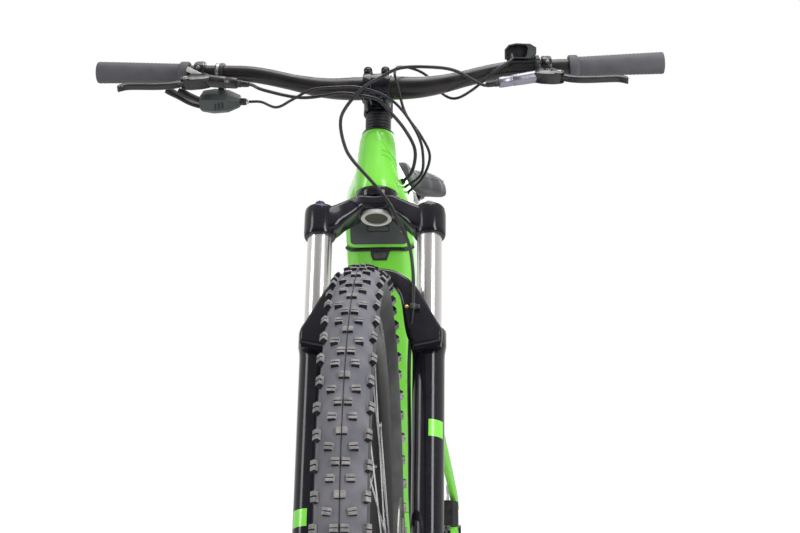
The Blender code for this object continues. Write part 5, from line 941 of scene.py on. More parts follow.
def build_rim(word, centre):
    """The rim, one section turned about the axle."""
    rim = Shape()
    half = [(0.294, 0.006), (0.2944, 0.0085), (0.2975, 0.013), (0.301, 0.016), (0.304, 0.0169),
            (0.315, 0.017), (0.3163, 0.0166), (0.3166, 0.0155), (0.316, 0.0145), (0.311, 0.0144),
            (0.3101, 0.013)]
    rim.hoop(doubled(half), at(centre) @ upright(), 168)
    rim.made(f"{word}_rim_hoop", f"{word}_wheel", ANODISED, replaces=[f"{word}_rim"], slot="anodised_black")


def build_hub(word, centre, half, flanges, drive):
    """Hub shell, bent spokes with their nipples, and the valve."""
    place = at(centre) @ upright()
    hub = Shape()
    left, right = flanges
    bore = 0.008 if word == "front" else 0.0066
    shell = [(bore, half), (0.01, half), (0.0106, half - 0.001), (0.0106, half - 0.008),
            (0.0205, half - 0.0088), (0.0214, half - 0.01), (0.0214, left + 0.0045), (0.027, left + 0.003),
            (0.0286, left + 0.002), (0.0288, left), (0.0286, left - 0.002), (0.0262, left - 0.0034),
            (0.019, left - 0.007), (0.0164, left - 0.012), (0.0158, (left + right) / 2),
            (0.0164, right + 0.012), (0.019, right + 0.007), (0.0262, right + 0.0034),
            (0.0286, right + 0.002), (0.0288, right), (0.0286, right - 0.002), (0.0262, right - 0.0034),
            (drive, right - 0.0044), (drive, -half + 0.0012), (drive - 0.001, -half), (bore, -half)]
    hub.hoop(shell, place, 64)
    wires = Shape()
    nipples = Shape()
    spokes = 28
    hole_circle = 0.0245
    rim_seat = 0.296
    for i in range(spokes):
        side = 1 if i % 2 == 0 else -1
        way = 1 if i // 2 % 2 == 0 else -1
        rim_angle = 2 * math.pi * i / spokes
        hub_angle = rim_angle + way * 2 * 2 * math.pi / (spokes // 2)
        flange = left if side > 0 else right
        seat = Vector((flange, hole_circle * math.sin(hub_angle), hole_circle * math.cos(hub_angle)))
        bend = seat + Vector((0.0024 * way, 0, 0))
        end = Vector((0.004 * side, rim_seat * math.sin(rim_angle), rim_seat * math.cos(rim_angle)))
        line = (end - bend).normalized()
        wires.tube([centre + p for p in (seat - Vector((0.002 * way, 0, 0)),
                seat + Vector((0.0014 * way, 0, 0)), bend + line * 0.0016, bend + line * 0.01, end)],
                [0.0011, 0.0011, 0.0011, 0.001, 0.0009], 8)
        wires.turned([(0.0019, -0.0005), (0.0019, 0.0003), (0.001, 0.0008)],
                facing(centre + seat - Vector((0.0018 * way, 0, 0)), Vector((-way, 0, 0))), 12)
        nipples.turned([(0.0018, 0.0), (0.0019, 0.002), (0.0016, 0.011), (0.001, 0.0118)],
                facing(centre + end, -line), 12)
    hub.made(f"{word}_hub_shell", f"{word}_wheel", ANODISED, replaces=[f"{word}_hub"],
            slot="anodised_black")
    wires.made(f"{word}_spokes", f"{word}_wheel", SILVER if word == "front" else STEEL, slot="steel")
    nipples.made(f"{word}_nipples", f"{word}_wheel", SILVER, slot="steel")
    valve = Shape()
    way = Vector((0, math.sin(math.pi / spokes), math.cos(math.pi / spokes)))
    valve.turned([(0.003, -0.295), (0.003, -0.26), (0.0022, -0.258), (0.0022, -0.25), (0.0014, -0.249)],
            facing(centre, -way), 24)
    valve.turned([(0.0055, -0.2945), (0.0055, -0.292), (0.0046, -0.2914)], facing(centre, -way), 32)
    valve.made(f"{word}_valve", f"{word}_wheel", SILVER, slot="steel")


def build_rotor(word, centre, x):
    """A braking ring with rows of holes, on six swept arms."""
    place = at(centre + Vector((x, 0, 0))) @ upright()
    rotor = Shape()
    thin = 0.0009
    holes = 36
    rim_rings = []
    for a in angles(holes * 8):
        wave_in = 0.0762 + 0.0009 * math.cos(a * 12)
        wave_out = 0.0896 + 0.0004 * math.cos(a * 12)
        rim_rings.append([(r * math.cos(a), r * math.sin(a), z)
                for r, z in ((wave_in, -thin), (wave_out, -thin), (wave_out, thin), (wave_in, thin))])
    rotor.loft(rim_rings, place, closed=True)
    # Painted shade: the holes are dark discs through the ring instead of openings
    dots = Shape()
    for i, a in enumerate(angles(holes * 2)):
        r = 0.08 + 0.003 * (i % 3)
        dots.turned([(0.0015, -thin - 0.00006), (0.0015, thin + 0.00006)],
                place @ at((r * math.cos(a), r * math.sin(a), 0)), 12)
    for i in range(6):
        a = math.pi / 3 * i
        b = a + math.radians(24)
        bends = ((0.0245, a - 0.1), (0.052, (a + b) / 2 + 0.16), (0.0778, b))
        route = curve([(r * math.cos(turn), r * math.sin(turn), 0) for r, turn in bends], 8)
        stations = [(p, rounded(0.0036 + 0.0008 * abs(k / 16 - 0.5) * 2, thin * 0.85, 0.0004, 2))
                for k, p in enumerate(route)]
        rotor.loft(level_rings(stations), place)
    rotor.hoop(doubled([(0.0222, -thin), (0.03, -thin)]), place, 64)
    rotor.made(f"{word}_rotor_disc", f"{word}_wheel", STEEL, replaces=[f"{word}_rotor"], slot="steel")
    dots.made(f"{word}_rotor_holes", f"{word}_wheel", PAINTED_SHADE, slot="steel")
    ring = Shape()
    ring.hoop([(0.015, 0.0012), (0.025, 0.0012), (0.0256, 0.002), (0.025, 0.0046), (0.015, 0.0046)], place,
            48)
    for a in angles(16):
        ring.turned([(0.0012, 0.004), (0.0012, 0.005)],
                place @ at((0.0215 * math.cos(a), 0.0215 * math.sin(a), 0)), 6)
    ring.made(f"{word}_rotor_lockring", f"{word}_wheel", SHELL_BLACK, slot="black_plastic")


def build_wheels():
    """Both wheels: tyre, rim, hub with spokes, and rotor."""
    # the hub's half width, its flanges' places and its radius at the right end
    for word, centre, half, flanges, drive in (("front", FRONT_AXLE, 0.055, (0.028, -0.028), 0.012),
            ("rear", REAR_AXLE, 0.074, (0.033, -0.022), 0.015)):
        build_tyre(word, centre)
        build_rim(word, centre)
        build_hub(word, centre, half, flanges, drive)
        build_rotor(word, centre, half - 0.0115)


# Frame and battery

def caliper_frame(place, turn):
    """A brake caliper's own frame, turned about the axle and out from it."""
    return place @ Matrix.Rotation(math.radians(turn), 4, "X") @ at((0, 0, 0.082))


def build_frame_tubes():
    """The welded aluminium frame, its weld beads and the battery bay's lining."""
    body = Shape()
    body.turned([(0.0203, HEAD_BOTTOM), (0.0286, HEAD_BOTTOM), (0.0291, HEAD_BOTTOM + 0.001),
            (0.0297, 0.022), (0.0299, 0.03), (0.0296, 0.04), (0.0288, 0.05), (0.0276, 0.062),
            (0.0266, 0.076), (0.0257, 0.086), (0.0249, 0.0935), (0.024, 0.0985), (0.0228, 0.103),
            (0.0222, 0.1045), (0.0215, HEAD_TOP)], STEER, 96)
    bar = [(-0.004, 0.024, 0.034, 0.016), (0.012, 0.0285, 0.0358, 0.0165), (0.03, 0.036, 0.037, 0.017),
            (0.046, 0.0425, 0.0383, 0.017), (0.06, *DOWN_SECTION), (0.0636, *DOWN_SECTION)]
    body.loft([[(x, y, w) for x, y in rounded(a, b, r, 10)] for w, a, b, r in bar], DOWN)
    # the stretch with the cap's pocket, and the one with the battery's channel
    half = 0.0388
    floor = DOWN_SECTION[1] - 0.0043
    whole = rounded(*DOWN_SECTION, 10)
    with_pocket = [*[p for p in whole if p[0] >= half and p[1] > 0], (half, 0.0382), (half, floor),
            (-half, floor), (-half, 0.0382), *[p for p in whole if p[0] <= -half and p[1] > 0],
            *[p for p in whole if p[1] <= 0]]
    body.loft([[(x, y, w) for x, y in with_pocket] for w in (0.0636, 0.0984)], DOWN)
    body.loft([[(x, y, w) for x, y in whole] for w in (0.0984, 0.105)], DOWN)
    in_half = 0.0381
    roof = -0.0296
    lip = 0.017
    channel = [(0.046, lip), (in_half, lip), (in_half, roof), (-in_half, roof), (-in_half, lip),
            (-0.046, lip), *[p for p in whole if p[1] < 0.0001]]
    body.loft([[(x, y, w) for x, y in channel] for w in (0.105, 0.555)], DOWN)
    ends = ((0.555, *DOWN_SECTION), (DOWN_LENGTH, 0.041, 0.039, 0.016))
    body.loft([[(x, y, w) for x, y in rounded(a, b, r, 10)] for w, a, b, r in ends], DOWN)
    start, end = TOP_TUBE
    sizes = ((0.0, 0.021, 0.0215), (0.05, 0.0232, 0.0225), (0.12, 0.0242, 0.022), (0.5, 0.025, 0.019),
            (0.8, 0.0215, 0.0175), (1.0, 0.0165, 0.0165))
    body.loft(swept_rings([(start.lerp(end, t), oval(a, b, 48)) for t, a, b in curve(sizes, 5)]))
    body.turned([(0.0178, 0.07), (0.0178, SEAT_TUBE_LENGTH - 0.019), (0.0178, SEAT_TUBE_LENGTH - 0.0006),
            (0.0174, SEAT_TUBE_LENGTH)], SEAT, 64)
    y, z = CRANK_AXIS.yz
    inner = arc(MOTOR_AXIS.yz, 0.0635, 152, 62, 18) + arc((y, z), 0.0535, 58, -32, 14)
    outer = curve([(y + 0.06, z - 0.032), (y + 0.08, z - 0.018), (y + 0.086, z + 0.012),
            (y + 0.068, z + 0.05), (y + 0.05, z + 0.1), (y + 0.015, z + 0.125), (y - 0.05, z + 0.12),
            (y - 0.1, z + 0.13), (y - 0.126, z + 0.09)], 4)
    body.plate(inner + outer, -0.04, 0.04, 0.006, FLAT)
    # a point nearby, x, y and z from it, half width and half height
    seat_lug = SEAT @ Vector((0, 0.004, SEAT_TUBE_LENGTH - 0.05))
    bridge = (0.038, -0.297, 0.288)
    chain_stay = ((CRANK_AXIS, 0.03, 0.066, -0.003, 0.0088, 0.0128),
            (CRANK_AXIS, 0.0425, 0.117, 0.003, 0.0088, 0.0128),
            (CRANK_AXIS, 0.052, 0.212, 0.016, 0.0086, 0.0122),
            (REAR_AXLE, 0.0735, -0.115, -0.02, 0.008, 0.01),
            (REAR_AXLE, 0.078, -0.048, -0.012, 0.0062, 0.0088))
    seat_stay = ((seat_lug, 0.01, 0, 0, 0.0078, 0.0078), (REAR_AXLE, *bridge, 0.0078, 0.0078),
            (REAR_AXLE, 0.046, -0.24, 0.23, 0.0078, 0.0078),
            (REAR_AXLE, 0.0725, -0.085, 0.082, 0.0075, 0.0075),
            (REAR_AXLE, 0.078, -0.036, 0.04, 0.0064, 0.0064))
    for side in (1, -1):
        for stay in (chain_stay, seat_stay):
            route = curve([(*(near + Vector((x * side, y, z))), wide, tall)
                    for near, x, y, z, wide, tall in stay], 6)
            body.loft(swept_rings([(p[:3], oval(p[3], p[4], 28)) for p in route]))
        ry, rz = REAR_AXLE.yz
        drop = [*arc((ry, rz), 0.019, -110, 70, 14), (ry - 0.01, rz + 0.046), (ry - 0.02, rz + 0.058),
                (ry - 0.044, rz + 0.058), (ry - 0.04, rz + 0.02), (ry - 0.06, rz + 0.002),
                (ry - 0.058, rz - 0.022)]
        low, high = sorted((0.0743 * side, 0.0823 * side))
        body.plate(drop, low, high, 0.001, FLAT)
    ends = [REAR_AXLE + Vector((bridge[0] * side, *bridge[1:])) for side in (-1, 1)]
    body.tube(ends, 0.0064, 28)
    tab = [(REAR_AXLE.y - 0.012, REAR_AXLE.z - 0.012), *arc(HANGER.yz, 0.01, 190, 380, 16),
            (REAR_AXLE.y + 0.012, REAR_AXLE.z - 0.008)]
    body.plate(tab, -0.0815, -0.0765, 0.0008, FLAT)
    caliper = caliper_frame(at(REAR_AXLE + Vector((0.0625, 0, 0))), 70)
    body.plate(square(0.008, -0.0363, 0.02, -0.0233), -0.008, 0.012, 0.001, caliper)
    body.made("frame_tubes", "frame", GREEN, replaces=["frame"], slot="green_paint", sharp=30)
    build_welds()
    bay = Shape()
    bay.loft([[(x, y, w) for x, y in ((0.038, 0.0168), (0.038, -0.0295), (-0.038, -0.0295),
            (-0.038, 0.0168), (-0.0372, 0.0168), (-0.0372, -0.0287), (0.0372, -0.0287), (0.0372, 0.0168))]
            for w in (0.1052, 0.5548)], DOWN)
    bay.made("battery_bay_lining", "frame", SHELL_BLACK, slot="black_plastic")


def bead(shape, points, radius=0.0016):
    """A row of overlapping weld ripples along a closed or open line."""
    radii = [radius * (1 + 0.28 * math.sin(i * math.pi / 1.5)) for i in range(len(points))]
    shape.tube(points, radii, 8)


def build_welds():
    """Weld beads at the head tube and round the top tube's rear end."""
    welds = Shape()
    start, end = TOP_TUBE
    way = (end - start).normalized()
    lift = way.cross(Vector((1, 0, 0)))
    unsteered = STEER.inverted()
    unseated = SEAT.inverted()

    def in_head(point):
        """Whether a point lies within the head tube's weld line."""
        spot = unsteered @ point
        return math.hypot(spot.x, spot.y) < (0.0299 if spot.z < 0.04 else 0.0299 - (spot.z - 0.04) * 0.083)

    def before_seat(point):
        """Whether a point lies outside the seat tube."""
        spot = unseated @ point
        return math.hypot(spot.x, spot.y) > 0.0178

    def last(line, direction, low, high, holds):
        """The last point on a line, between two distances, for which something holds."""
        for _ in range(28):
            middle = (low + high) / 2
            low, high = (middle, high) if holds(line + direction * middle) else (low, middle)
        return line + direction * low

    def meet_head(origin, across, section, direction, reach):
        """Where lines along a tube's skin leave the head tube."""
        return [last(origin + Vector((1, 0, 0)) * a + across * b, direction, 0.0, reach, in_head)
                for a, b in section]

    ring = meet_head(start, lift, [(0.0222 * math.cos(a), 0.0218 * math.sin(a)) for a in angles(96)], way,
            0.06)
    bead(welds, [*ring, ring[0]])
    section = rounded(0.0335, 0.0362, 0.016, 24)
    for way_up in (1, -1):
        run = [p for p in section if p[1] * way_up > 0.03 and abs(p[0]) < 0.026]
        bead(welds, meet_head(DOWN_TOP, DOWN_OUT, sorted(run), DOWN_WAY, 0.07), 0.0018)
    seat_ring = [last(end + Vector((1, 0, 0)) * 0.0172 * math.cos(a) + lift * 0.017 * math.sin(a), way,
            -0.05, 0.0, before_seat) for a in angles(80)]
    bead(welds, [*seat_ring, seat_ring[0]], 0.0014)
    welds.made("weld_beads", "frame", GREEN, slot="green_paint", sharp=80)


def build_battery():
    """The cover under the down tube, its seam, latch and the dark cap over the lock."""
    cap = Shape()
    middle = 0.081
    outline = [(x, w + 0.0022 if w > 0 else w) for x, w in rounded(0.0384, 0.0172, 0.005, 6)]
    place = DOWN @ STAND
    cap.plate([(x, w + middle) for x, w in outline], 0.0351, 0.0395, 0.0008, place)
    cap.made("lock_cap", "frame", SHELL_GREY, replaces=["down_tube_cap"], slot="grey_plastic")
    sunk = Shape()
    recess = 0.0755
    border = [[(x, w + recess) for x, w in points]
            for points in (rounded(0.015, 0.005, 0.0018, 5), rounded(0.0138, 0.0038, 0.0012, 5))]
    sunk.loft([[(*a, 0.0392), (*a, 0.0402), (*b, 0.0402), (*b, 0.0392)] for a, b in zip(*border)], place,
            closed=True)
    sunk.plate(border[1], 0.0385, 0.0399, 0.0004, place, 1)
    sunk.made("cap_recess", "frame", SHELL_BLACK, SHELL_GREY, slot="grey_plastic")
    Shape().turned([(0.0022, 0.039), (0.0022, 0.0401), (0.0012, 0.0404)],
            DOWN @ at((0.0325, 0, 0.08)) @ Matrix.Rotation(-math.pi / 2, 4, "X"), 24).made("cap_screw",
            "frame", BRASS, slot="steel")
    cover = Shape()
    base = 0.0173
    x, deep, corner = DOWN_SECTION
    edge = arc((x - corner, deep - corner), corner, 0, 90, 12)
    shell = [(x, base), *edge, *[(-a, b) for a, b in reversed(edge)], (-x, base)]
    start, stop = (0.1095, 0.554)
    bow = 0.0045
    rings = []
    for w, inset in ((0, 0.001), (0.0004, 0.0003), (0.0012, 0.0)):
        rings.append([(a, b, start + w + bow * (a / x) ** 2) for a, b in shrunk(shell, inset)])
    for w, inset in ((-0.0012, 0.0), (-0.0004, 0.0003), (0, 0.001)):
        rings.append([(a, b, stop + w) for a, b in shrunk(shell, inset)])
    cover.loft(rings, DOWN)
    cover.made("battery_lid", "battery", GREEN, replaces=["battery_cover"], slot="green_paint", sharp=35)
    seam = Shape()
    line = []
    for i in range(41):
        a = -0.0455 + 0.091 * i / 40
        top = 0.0388
        if abs(a) > 0.03:
            over = (abs(a) - 0.03) / 0.0165
            top = 0.0215 + 0.0172 * math.sqrt(max(1 - over * over, 0))
        line.append((a, top, 0.107 + bow * (a / x) ** 2))
    seam.tube([DOWN @ Vector(p) for p in line], 0.0023, 10)
    seam.made("lid_seam", "frame", HOSE_BLACK, slot="rubber")
    tab = Shape()
    outline = [(-0.0124, 0.109), (0.0124, 0.109), (0.012, 0.118), (0.0098, 0.1245), (0.008, 0.1254),
            (-0.008, 0.1254), (-0.0098, 0.1245), (-0.012, 0.118)]
    outline = curve(outline, 4)
    tab.plate(outline, 0.03, 0.0398, 0.001, place)
    tab.made("battery_latch_tab", "latch", SHELL_BLACK, replaces=["battery_latch"], slot="black_plastic")
    lip = Shape()
    inner_tab = [(x * 0.66, (w - 0.1172) * 0.6 + 0.1176) for x, w in outline]
    lip.plate(inner_tab, 0.0385, 0.0402, 0.0006, place)
    lip.made("battery_latch_pad", "latch", SHELL_GREY, slot="grey_plastic")


def build_motor():
    """The motor's housing with its round covers and screws."""
    motor = Shape()
    outline = [*arc(MOTOR_AXIS.yz, 0.062, 78, 262, 40), *arc(CRANK_AXIS.yz, 0.052, -82, 62, 34)]
    motor.plate(outline, -MOTOR_HALF, MOTOR_HALF, 0.005, FLAT)
    motor.made("motor_shell", "frame", SHELL_BLACK, replaces=["motor_unit"], slot="black_plastic", sharp=50)
    trim = Shape()
    for side in (1, -1):
        for centre, radius, high in ((MOTOR_AXIS, 0.048, 0.0016), (CRANK_AXIS, 0.024, 0.004)):
            spot = at(centre + Vector((MOTOR_HALF * side, 0, 0))) @ upright(side)
            trim.turned([(radius, -0.002), (radius, high * 0.6), (radius - 0.0012, high),
                    (radius - 0.006, high), (radius - 0.0072, high * 0.5), (0.0125, high * 0.5)], spot, 72)
        for k in range(6):
            a = math.radians(60 * k + 20)
            spot = MOTOR_AXIS + Vector((0.0398 * side, 0.044 * math.cos(a), 0.044 * math.sin(a)))
            bolt(trim, spot, Vector((side, 0, 0)), 0.003, 0.0022, kind=1)
    trim.made("motor_cover", "frame", SHELL_GREY, STEEL, PAINTED_SHADE, slot="grey_plastic")


# Drivetrain

def pitch_radius(teeth):
    """Radius of the circle of chain pins round a sprocket."""
    return CHAIN_PITCH / (2 * math.sin(math.pi / teeth))


def tooth_outline(teeth, depth=0.004):
    """Rounded sprocket teeth as (y, z) points."""
    tip = pitch_radius(teeth) - CHAIN_LIFT
    points = []
    for i in range(teeth):
        for part, fall in ((-0.5, 1.0), (-0.36, 0.93), (-0.24, 0.45), (-0.12, 0.06), (0, 0), (0.12, 0.06),
                (0.24, 0.45), (0.36, 0.93)):
            a = 2 * math.pi * (i + part) / teeth
            points.append(((tip - depth * fall) * math.cos(a), (tip - depth * fall) * math.sin(a)))
    return points


def ring_plate(shape, outline, hole, low, high, place, kind=0):
    """A flat plate with an outline and a round hole."""
    rings = []
    for x, y in outline:
        a = math.atan2(y, x)
        u, v = (hole * math.cos(a), hole * math.sin(a))
        rings.append([(u, v, low), (x, y, low), (x, y, high), (u, v, high)])
    shape.loft(rings, place, closed=True, kind=kind)


def build_cassette():
    """The cogs, with arms in the larger ones, and the sleeve that carries them."""
    cogs = Shape()
    for i, teeth in enumerate(COG_TEETH):
        x = FIRST_COG - i * COG_PITCH
        tip = pitch_radius(teeth) - CHAIN_LIFT
        hole = max(tip - 0.013, 0.0156)
        place = at(REAR_AXLE + Vector((x, 0, 0))) @ upright()
        ring_plate(cogs, tooth_outline(teeth, 0.0036), hole, -0.0008, 0.0008, place)
        if hole > 0.02:
            for k in range(5):
                a = 2 * math.pi * k / 5 + i * 0.2
                start = Vector((0.016 * math.cos(a), 0.016 * math.sin(a), 0))
                end = Vector(((hole + 0.001) * math.cos(a + 0.18), (hole + 0.001) * math.sin(a + 0.18), 0))
                ends = [(start, square(-0.0007, -0.0035, 0.0007, 0.0035)),
                        (end, square(-0.0007, -0.0028, 0.0007, 0.0028))]
                cogs.loft(swept_rings(ends, Vector((0, 0, 1))), place)
    cogs.hoop([(0.0153, -0.0345), (0.017, -0.0345), (0.017, -0.0712), (0.0153, -0.0712)],
            at(REAR_AXLE) @ upright(), 48)
    cogs.made("cassette_cogs", "cassette", STEEL, replaces=["cassette"], slot="steel", sharp=30)


def build_cranks():
    """Both crank arms with the spindle and the pedals' axles, and the pedals."""
    for side, word in SIDES:
        arm = Shape()
        # distance along the arm, half width, half thickness and distance from the middle
        way = ((-0.0165, 0.01, 0.006, 0.0702), (-0.012, 0.015, 0.0076, 0.0701), (0.0, 0.0172, 0.0082, 0.07),
                (0.02, 0.016, 0.0078, 0.0702), (0.04, 0.0145, 0.0074, 0.0712), (0.1, 0.0125, 0.0066, 0.077),
                (0.15, 0.0125, 0.0064, 0.082), (0.17, 0.0145, 0.0066, 0.083), (0.18, 0.011, 0.0058, 0.083),
                (0.184, 0.005, 0.0036, 0.083))
        route = curve([(x * side, d * side, 0, wide, thick) for d, wide, thick, x in way], 5)
        rings = [[(x + a, d, z + b) for a, b in rounded(thick, wide, min(thick, wide) * 0.75, 6)]
                for x, d, z, wide, thick in route]
        arm.loft(rings, at(CRANK_AXIS))
        spindle = at(CRANK_AXIS) @ upright(side)
        arm.turned([(0.0168, 0.0612), (0.0188, 0.0622), (0.0192, 0.065), (0.0192, 0.0768), (0.018, 0.0786),
                (0.012, 0.079), (0.0112, 0.0776)], spindle, 56)
        arm.turned([(0.007, 0.0765), (0.007, 0.0788)], spindle, 8, 1)
        eye = at(CRANK_AXIS + Vector((0, CRANK_LENGTH * side, 0))) @ upright(side)
        arm.turned([(0.0135, 0.0758), (0.0145, 0.0768), (0.0145, 0.0892), (0.0135, 0.09)], eye, 40)
        arm.turned([(0.0075, 0.089), (0.0075, 0.0916), (0.006, 0.092), (0.006, 0.1)], eye, 32, 1)
        arm.turned([(0.0046, 0.0745), (0.0046, 0.0762)], eye, 6, 1)
        if side < 0:
            arm.turned([(0.01, -0.074), (0.01, 0.07)], spindle, 32, 1)
        arm.made(f"crank_{word}", "crank", GLOSS_BLACK, STEEL, replaces=[f"crank_arm_{word}"],
                slot="gloss_black")
        build_pedal(side, word)


def build_pedal(side, word):
    """A platform pedal: an open cage with concave edges, pins and an axle barrel."""
    pedal = Shape()
    centre = CRANK_AXIS + Vector((0, CRANK_LENGTH * side, 0))
    place = at(centre) @ Matrix.Diagonal((side, 1, 1, 1))
    inner, outer = (0.0922, 0.19)
    middle = (inner + outer) / 2
    pedal.turned([(0.0105, inner), (0.0115, inner + 0.001), (0.0115, outer - 0.001), (0.01, outer)],
            at(centre) @ upright(side), 40)
    for way in (1, -1):
        rail = curve([(inner + 0.004, 0.03, 0), (inner + 0.01, 0.044, 0), (middle - 0.018, 0.045, 0),
                (middle, 0.044, 0), (middle + 0.018, 0.045, 0), (outer - 0.01, 0.044, 0),
                (outer - 0.004, 0.03, 0)], 4)
        stations = [((x, y * way, z), rounded(0.003, 0.0066, 0.0014, 3)) for x, y, z in rail]
        pedal.loft(level_rings(stations), place)
    for x, reach in ((inner + 0.0055, 0.031), (outer - 0.0055, 0.031), (middle, 0.044)):
        pedal.plate([(x - 0.0048, -reach), (x + 0.0048, -reach), (x + 0.004, 0), (x + 0.0048, reach),
                (x - 0.0048, reach), (x - 0.004, 0)], -0.0058, 0.0058, 0.0012, place)
    for x in (inner + 0.013, middle - 0.015, middle, middle + 0.015, outer - 0.013):
        for y in (0.044, -0.044):
            for z in (1, -1):
                pedal.turned([(0.0016, 0.0055), (0.0016, 0.0069), (0.001, 0.007)],
                        place @ at((x, y, 0)) @ (Matrix.Rotation(math.pi, 4, "X") if z < 0 else Matrix()),
                        10, 1)
    for x in (middle - 0.026, middle + 0.026):
        for y in (-0.0462, 0.0462):
            reflector = rounded(0.011, 0.0036, 0.001, 3)
            turn = at((x, y, 0)) @ Matrix.Rotation(math.pi / 2, 4, "X")
            pedal.plate(reflector, -0.0014, 0.0014, 0.0004, place @ turn, 2)
    pedal.made(f"pedal_{word}_platform", f"pedal_{word}", SHELL_BLACK, STEEL, AMBER,
            replaces=[f"pedal_{word}"], slot="black_plastic")


def build_chainring():
    """The toothed ring, the spider's four arms and their bolts."""
    ring = Shape()
    place = at(CRANK_AXIS + Vector((CHAIN_LINE, 0, 0))) @ upright()
    ring_plate(ring, tooth_outline(CHAINRING_TEETH), 0.0605, -0.0009, 0.0009, place, 1)
    for k in range(4):
        a = math.radians(45 + 90 * k)
        arm = Matrix.Rotation(a, 4, "Z")
        half = [(0.015, -0.013), (0.03, -0.01), (0.048, -0.0068), (0.062, -0.0075), (0.0655, -0.0045)]
        outline = curve(doubled(half), 4)
        ring.plate(outline, -0.0028, 0.0016, 0.0008, place @ arm)
        ring.turned([(0.0042, -0.0034), (0.0048, -0.003), (0.0048, 0.0024), (0.0042, 0.0028)],
                place @ arm @ at((0.061, 0, 0)), 24, 2)
    ring.hoop([(0.0102, -0.0052), (0.018, -0.0052), (0.019, -0.0045), (0.019, 0.003), (0.018, 0.0035),
            (0.0102, 0.0035)], place, 48)
    ring.made("chainring_and_spider", "crank", SHELL_BLACK, STEEL, STEEL, replaces=["chainring"],
            slot="black_plastic", sharp=30)


def chain_line():
    """The closed line of the chain as (y, z) points with the way along it."""
    stops = [(CRANK_AXIS.yz, CHAINRING_TEETH, 1), (TENSION_PULLEY.yz, PULLEY_TEETH, 1),
            (GUIDE_PULLEY.yz, PULLEY_TEETH, -1), (REAR_AXLE.yz, COG_TEETH[CHAIN_COG], 1)]
    stops = [(centre, pitch_radius(teeth) + CHAIN_LIFT, way) for centre, teeth, way in stops]
    contacts = []
    for (a, ra, sa), (b, rb, sb) in zip(stops, stops[1:] + stops[:1]):
        gap = b - a
        bearing = math.atan2(gap.y, gap.x)
        turn = math.acos((sb * rb - sa * ra) / gap.length)
        normal = Vector((math.cos(bearing + turn), math.sin(bearing + turn)))
        contacts.append((a - normal * sa * ra, b - normal * sb * rb))
    line = []
    for i, (centre, radius, way) in enumerate(stops):
        arrive = contacts[i - 1][1] - centre
        leave = contacts[i][0] - centre
        first = math.atan2(arrive.y, arrive.x)
        sweep = (math.atan2(leave.y, leave.x) - first) * way % (2 * math.pi)
        for k in range(61):
            a = first + way * sweep * k / 60
            line.append(centre + Vector((math.cos(a), math.sin(a))) * radius)
    return line


def build_chain():
    """Links of outer and inner plates on rollers, a whole number of them round the route."""
    line = chain_line()
    total = sum((b - a).length for a, b in zip(line, line[1:] + line[:1]))
    count = 2 * round(total / CHAIN_PITCH / 2)
    pitch = total / count
    pins = []
    want = 0.0
    gone = 0.0
    for a, b in zip(line, line[1:] + line[:1]):
        length = (b - a).length
        while len(pins) < count and want <= gone + length and length > 0:
            pins.append(a + (b - a) * ((want - gone) / length))
            want += pitch
        gone += length
    links = Shape()
    for i, pin in enumerate(pins):
        after = pins[(i + 1) % len(pins)]
        middle = (pin + after) / 2
        way = after - pin
        angle = math.atan2(way.y, way.x)
        place = at(Vector((CHAIN_LINE, middle.x, middle.y))) @ Matrix.Rotation(angle, 4, "X") @ FLAT
        half = way.length / 2
        outline = [*arc((half, 0), 0.0034, -80, 80, 6), (0, 0.0024), *arc((-half, 0), 0.0034, 100, 260, 6),
                (0, -0.0024)]
        for low in ((0.0019, -0.0027) if i % 2 else (0.0011, -0.0019)):
            links.plate(outline, low, low + 0.0008, 0.0002, place, 1 if i % 2 else 0)
        links.turned([(0.0016, -0.003), (0.0016, 0.003)],
                at(Vector((CHAIN_LINE, pin.x, pin.y))) @ upright(), 8, 0)
    links.made("chain_links", "frame", STEEL, SILVER, replaces=["chain"], slot="steel", sharp=50)


def build_derailleur():
    """The kept knuckle and cage get their finish; pulleys and bolts are new."""
    dress("derailleur_body", ANODISED, 0.0009)
    dress("derailleur_cage", SHELL_BLACK, 0.0009)
    for word, centre in (("guide", GUIDE_PULLEY), ("tension", TENSION_PULLEY)):
        pulley = Shape()
        place = at(centre + Vector((CHAIN_LINE, 0, 0))) @ upright()
        ring_plate(pulley, tooth_outline(PULLEY_TEETH, 0.0034), 0.0034, -0.0012, 0.0012, place)
        pulley.hoop(doubled([(0.0034, -0.0018), (0.009, -0.0018), (0.0096, -0.0012)]), place, 32)
        pulley.made(f"{word}_jockey", f"{word}_pulley", SHELL_BLACK, replaces=[f"{word}_pulley"],
                slot="black_plastic")
    bolts = Shape()
    bolt(bolts, HANGER + Vector((-0.0985, 0, 0)), Vector((-1, 0, 0)), 0.0055, 0.003)
    bolts.made("derailleur_bolt", "frame", STEEL, PAINTED_SHADE, slot="steel")
    pins = Shape()
    for centre in (GUIDE_PULLEY, TENSION_PULLEY):
        bolt(pins, centre + Vector((CHAIN_LINE - 0.0065, 0, 0)), Vector((-1, 0, 0)), 0.0045, 0.002)
    pins.made("pulley_bolts", "cage", STEEL, PAINTED_SHADE, slot="steel")


# Saddle and post

